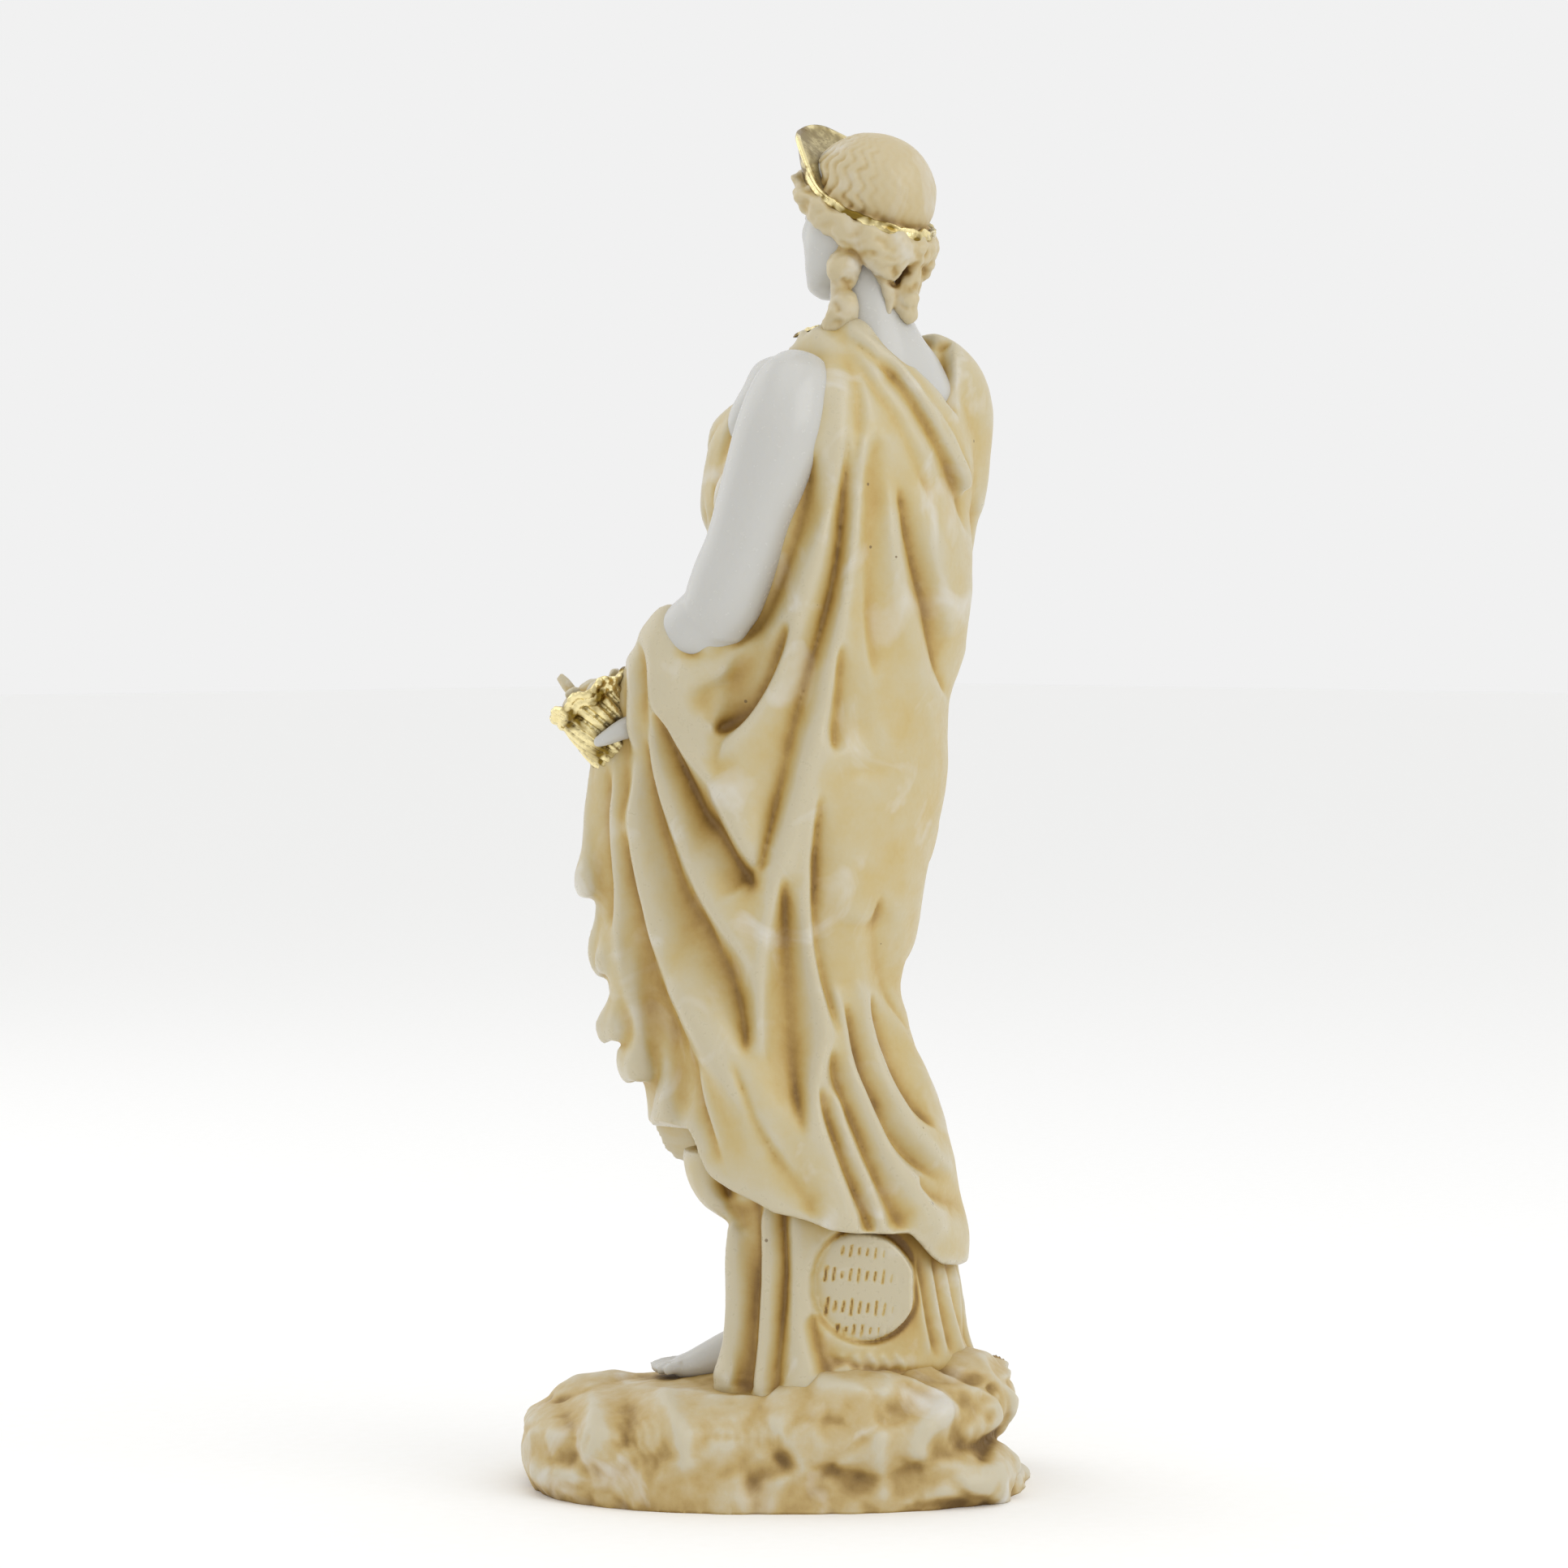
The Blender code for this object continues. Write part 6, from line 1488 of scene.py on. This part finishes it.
def makeAlabaster(finish):
    f = finish
    c = alabasterCast
    material, tree, shader = newMaterial(f["name"])
    place = addNode(tree, "TexCoord", {}, "Object")
    broad = addNode(tree, "TexNoise", {"Vector": place, "Scale": perMetre(c["broad"]), "Detail": 3.0})
    cloud = addNode(tree, "TexNoise", {"Vector": place, "Scale": perMetre(c["cloud"]), "Detail": 5.0,
                                       "Roughness": 0.6, "Distortion": 0.4})
    grain = addNode(tree, "TexNoise", {"Vector": place, "Scale": perMetre(c["grain"]), "Detail": 4.0})
    hollow = addNode(tree, "Attribute", {}, "Fac", attribute_name="hollow")
    nick = addNode(tree, "Attribute", {}, "Fac", attribute_name="nick")
    rubbed = addNode(tree, "Attribute", {}, "Fac", attribute_name="rubbed")
    # ambient occlusion, used below as painted shade: the colour darkens where other surfaces are close
    shade = addNode(tree, "AmbientOcclusion", {"Distance": c["shadeReach"] / 1000}, "AO", samples=8)
    # the share of wash left on the surface, with painted shade added where the occlusion is high: a start,
    # then what each source adds above its middle
    wash = f["wash"]
    for value, middle, amount in (
        (hollow, 0.5, f["fromHollow"]), (nick, 0.5, f["fromNick"]), (shade, 0.8, -f["fromShade"]),
        (broad, 0.5, f["cloudy"]), (cloud, 0.5, 0.7 * f["cloudy"]), (grain, 0.5, 0.2 * f["cloudy"]),
        (rubbed, 0.0, -0.5),
    ):
        off = addNode(tree, "Math", {0: value, 1: middle}, operation="SUBTRACT")
        wash = addNode(tree, "Math", {0: off, 1: amount, 2: wash}, operation="MULTIPLY_ADD")
    wash = addNode(tree, "Clamp", {"Value": wash})
    colour = addNode(tree, "ValToRGB", {"Fac": wash})
    ramp = colour.node.color_ramp
    for spot, hexColour in f["stops"][2:]:
        ramp.elements.new(spot)
    for element, (spot, hexColour) in zip(ramp.elements, f["stops"]):
        element.position = spot
        element.color = srgb(hexColour)
    # milky veins of purer stone show where the wash is thin
    veins = addNode(tree, "TexNoise", {"Vector": place, "Scale": perMetre(c["veins"]), "Detail": 3.0,
                                       "Distortion": 1.2})
    milky = addNode(tree, "MapRange", {"Value": veins, "From Min": 0.56, "From Max": 0.95,
                                       "To Max": f["milky"]})
    bare = addNode(tree, "Math", {0: 1.0, 1: wash}, operation="SUBTRACT")
    milky = addNode(tree, "Math", {0: milky, 1: bare}, operation="MULTIPLY", use_clamp=True)
    colour = addNode(tree, "Mix", {0: milky, 6: colour, 7: srgb(c["vein"])}, 2, data_type="RGBA")
    # pin holes in a few cells of a cellular pattern, each filled with dark wash
    cells = addNode(tree, "TexVoronoi", {"Vector": place, "Scale": perMetre(c["pitSpacing"])})
    chance = addNode(tree, "SeparateColor", {0: cells.node.outputs["Color"]})
    chosen = addNode(tree, "Math", {0: chance, 1: 1 - c["pitShare"] * f["pits"]}, operation="GREATER_THAN")
    hole = addNode(tree, "Math", {0: cells, 1: c["pitRadius"] / c["pitSpacing"]}, operation="LESS_THAN")
    pit = addNode(tree, "Math", {0: hole, 1: chosen}, operation="MULTIPLY")
    filled = addNode(tree, "Math", {0: pit, 1: 0.75}, operation="MULTIPLY")
    colour = addNode(tree, "Mix", {0: filled, 6: colour, 7: srgb(c["pitFilling"])}, 2, data_type="RGBA")
    tree.links.new(colour, shader["Base Color"])
    # the wash dries a little rougher than the polished stone
    rough = addNode(tree, "Math", {0: wash, 1: 0.3, 2: f["roughness"] - 0.2}, operation="MULTIPLY_ADD")
    rough = addNode(tree, "Math", {0: grain, 1: 0.2, 2: rough}, operation="MULTIPLY_ADD")
    tree.links.new(rough, shader["Roughness"])
    height = addNode(tree, "Math", {0: cloud, 1: 1.2, 2: grain}, operation="MULTIPLY_ADD")
    height = addNode(tree, "Math", {0: pit, 1: -3.2, 2: height}, operation="MULTIPLY_ADD")
    bump = addNode(tree, "Bump", {"Height": height, "Strength": f["bump"], "Distance": 0.0001})
    tree.links.new(bump, shader["Normal"])
    shader["IOR"].default_value = c["ior"]
    shader["Subsurface Weight"].default_value = c["scatter"]
    shader["Subsurface Radius"].default_value = c["scatterColour"]
    shader["Subsurface Scale"].default_value = c["scatterReach"] / 1000
    return material


# Gold paint burnished over the casting: a warm mirror on the high places, with painted light and
# dark reflections laid into its colour in patches, brown painted shade where other surfaces close
# in, flecked with dark wash, and a dull taupe behind the crest where the gold is rubbed thin.
gilding = {
    # the first two colours are painted light and dark reflections, the third is the brown of painted shade
    # and wash flecks, the last the taupe
    "paintedBrightReflection": "#f6e6ae", "deep": "#7e6628", "wash": "#45351a", "rubbedThin": "#93855f",
    "roughness": 0.1,
    "reflectionPatches": 4.2, "fine": 0.6, "shadeReach": 3,      # sizes in millimetres
}


def makeGilding():
    g = gilding
    material, tree, shader = newMaterial("burnishedGoldPaint")
    place = addNode(tree, "TexCoord", {}, "Object")
    reflectionPatches = addNode(tree, "TexNoise", {"Vector": place, "Scale": perMetre(g["reflectionPatches"]), "Detail": 2.0,
                                       "Distortion": 0.4})
    fine = addNode(tree, "TexNoise", {"Vector": place, "Scale": perMetre(g["fine"]), "Detail": 3.0})
    shade = addNode(tree, "AmbientOcclusion", {"Distance": g["shadeReach"] / 1000}, "AO", samples=8)
    worn = addNode(tree, "Attribute", {}, "Fac", attribute_name="worn")
    # painted reflection: patches that swap the gold between a bright and a dark colour, standing in for
    # what the mirror would show
    paintedReflection = addNode(tree, "MapRange", {"Value": reflectionPatches, "From Min": 0.44, "From Max": 0.6})
    gold = addNode(tree, "Mix", {0: paintedReflection, 6: srgb(g["paintedBrightReflection"]), 7: srgb(g["deep"])}, 2, data_type="RGBA")
    patchy = addNode(tree, "MapRange", {"Value": fine, "From Min": 0.3, "From Max": 0.7, "To Min": 0.55})
    worn = addNode(tree, "Math", {0: worn, 1: patchy}, operation="MULTIPLY")
    gold = addNode(tree, "Mix", {0: worn, 6: gold, 7: srgb(g["rubbedThin"])}, 2, data_type="RGBA")
    # painted shade: the gold turns dark brown where the occlusion finds other surfaces close, with fine
    # flecks of dark wash added
    paintedShadeAndSpecks = addNode(tree, "MapRange", {"Value": shade, "From Min": 0.8, "From Max": 0.15})
    specks = addNode(tree, "MapRange", {"Value": fine, "From Min": 0.6, "From Max": 1.0, "To Max": 0.8})
    paintedShadeAndSpecks = addNode(tree, "Math", {0: paintedShadeAndSpecks, 1: specks}, operation="ADD", use_clamp=True)
    colour = addNode(tree, "Mix", {0: paintedShadeAndSpecks, 6: gold, 7: srgb(g["wash"])}, 2, data_type="RGBA")
    tree.links.new(colour, shader["Base Color"])
    dull = addNode(tree, "Math", {0: paintedShadeAndSpecks, 1: worn}, operation="MAXIMUM")
    metal = addNode(tree, "Math", {0: dull, 1: -0.75, 2: 1.0}, operation="MULTIPLY_ADD")
    tree.links.new(metal, shader["Metallic"])
    rough = addNode(tree, "Math", {0: dull, 1: 0.35, 2: g["roughness"]}, operation="MULTIPLY_ADD")
    rough = addNode(tree, "Math", {0: fine, 1: 0.18, 2: rough}, operation="MULTIPLY_ADD")
    tree.links.new(rough, shader["Roughness"])
    height = addNode(tree, "Math", {0: fine, 1: 0.4, 2: reflectionPatches}, operation="MULTIPLY_ADD")
    bump = addNode(tree, "Bump", {"Height": height, "Strength": 0.7, "Distance": 0.0003})
    tree.links.new(bump, shader["Normal"])
    return material


def makeFloorPaper():
    # a flat matt paper floor under the piece
    material, tree, shader = newMaterial("mattWhitePaper")
    place = addNode(tree, "TexCoord", {}, "Object")
    fibre = addNode(tree, "TexNoise", {"Vector": place, "Scale": perMetre(3), "Detail": 4.0})
    colour = addNode(tree, "Mix", {0: fibre, 6: srgb("#fbfbf9"), 7: srgb("#ffffff")}, 2, data_type="RGBA")
    tree.links.new(colour, shader["Base Color"])
    shader["Roughness"].default_value = 0.9
    return material


makeMantle()
makeGown()
makeSkin()
makeFace()
makeHair()
makeDiadem()
makeBrooch()
makeRock()
makeHorn()
makeFruit()
print("shapes made")

materials = {kind: makeAlabaster(finish) for kind, finish in alabasterFinishes.items()}
materials["gilding"] = makeGilding()

# into the frame: metres, the sawn face on the floor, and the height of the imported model
top = max(coords(mesh)[:, 2].max() for _, mesh, _ in made) - stand["sawHeight"]
toMetres = (cadBox[1][2] - cadBox[0][2]) / top


def inFrame(points):
    q = points - (*stand["middle"], stand["sawHeight"])
    c, s = math.cos(figureYaw), math.sin(figureYaw)
    return np.stack([q[:, 0] * c - q[:, 1] * s, q[:, 0] * s + q[:, 1] * c, q[:, 2]], 1) * toMetres


root = list(frame["bodies"])[0]
for name, mesh, kind in made:
    setCoords(mesh, inFrame(coords(mesh)))
    mesh.shade_smooth()
    mesh.materials.clear()
    mesh.materials.append(materials[kind])
    piece = addObject(name, mesh)
    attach(piece, root)
    if name == "mantle":
        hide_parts("goddess_statue")
print("pieces placed")

# the flat paper floor, the light tent and the camera, which stands where the sculptor does
studio = {
    "floorSize": 14.0,
    "viewWidth": 298.1,                    # what the view spans at the target, in the stand's units
    "sensorWidth": 36,
    "world": 0.88,
    "lamps": [
        # degrees round from the camera, degrees up, away, size, watts
        (-118, 28, 1.0, 0.9, 1.3), (58, 32, 1.0, 0.7, 1.9), (5, 78, 1.0, 0.8, 1.0),
    ],
}

bm = bmesh.new()
bmesh.ops.create_grid(bm, x_segments=2, y_segments=2, size=studio["floorSize"] / 2)
floorMesh = meshOf("paperSweep", bm)
floorMesh.materials.append(makeFloorPaper())
addObject("paperSweep", floorMesh)

target = Vector(inFrame(np.array([[0.0, 0.0, stand["eyeLevel"]]]))[0])


def setFacing(name, data, turn, rise, away):
    # an object that looks at the target, turn degrees round from the sculptor's side and rise degrees up
    angle = math.radians(turn)
    level = inFrame(np.array([[math.sin(angle), -math.cos(angle), 0.0], [0, 0, 0]]))
    up = math.radians(rise)
    outward = Vector(unit(level[0] - level[1]) * math.cos(up)) + Vector((0, 0, math.sin(up)))
    obj = addObject(name, data)
    obj.location = target + outward * away
    obj.rotation_euler = outward.to_track_quat("Z", "Y").to_euler()
    return obj


cameraData = bpy.data.cameras.new("camera")
cameraData.sensor_width = studio["sensorWidth"]
cameraData.lens = studio["sensorWidth"] * stand["eyeAway"] / studio["viewWidth"]
cameraData.clip_start = 0.05
cameraData.clip_end = 20
bpy.context.scene.camera = setFacing("camera", cameraData, 0, stand["eyeRise"], stand["eyeAway"] * toMetres)

for turn, rise, away, size, watts in studio["lamps"]:
    lampData = bpy.data.lights.new("softLamp", "AREA")
    lampData.size = size
    lampData.energy = watts
    setFacing("softLamp", lampData, turn, rise, away)

world = bpy.data.worlds.new("lightTent")
world.use_nodes = True
background = world.node_tree.nodes["Background"].inputs
background["Color"].default_value = srgb("#ffffff")
background["Strength"].default_value = studio["world"]
bpy.context.scene.world = world
bpy.context.scene.view_settings.view_transform = "Standard"
print("studio set")
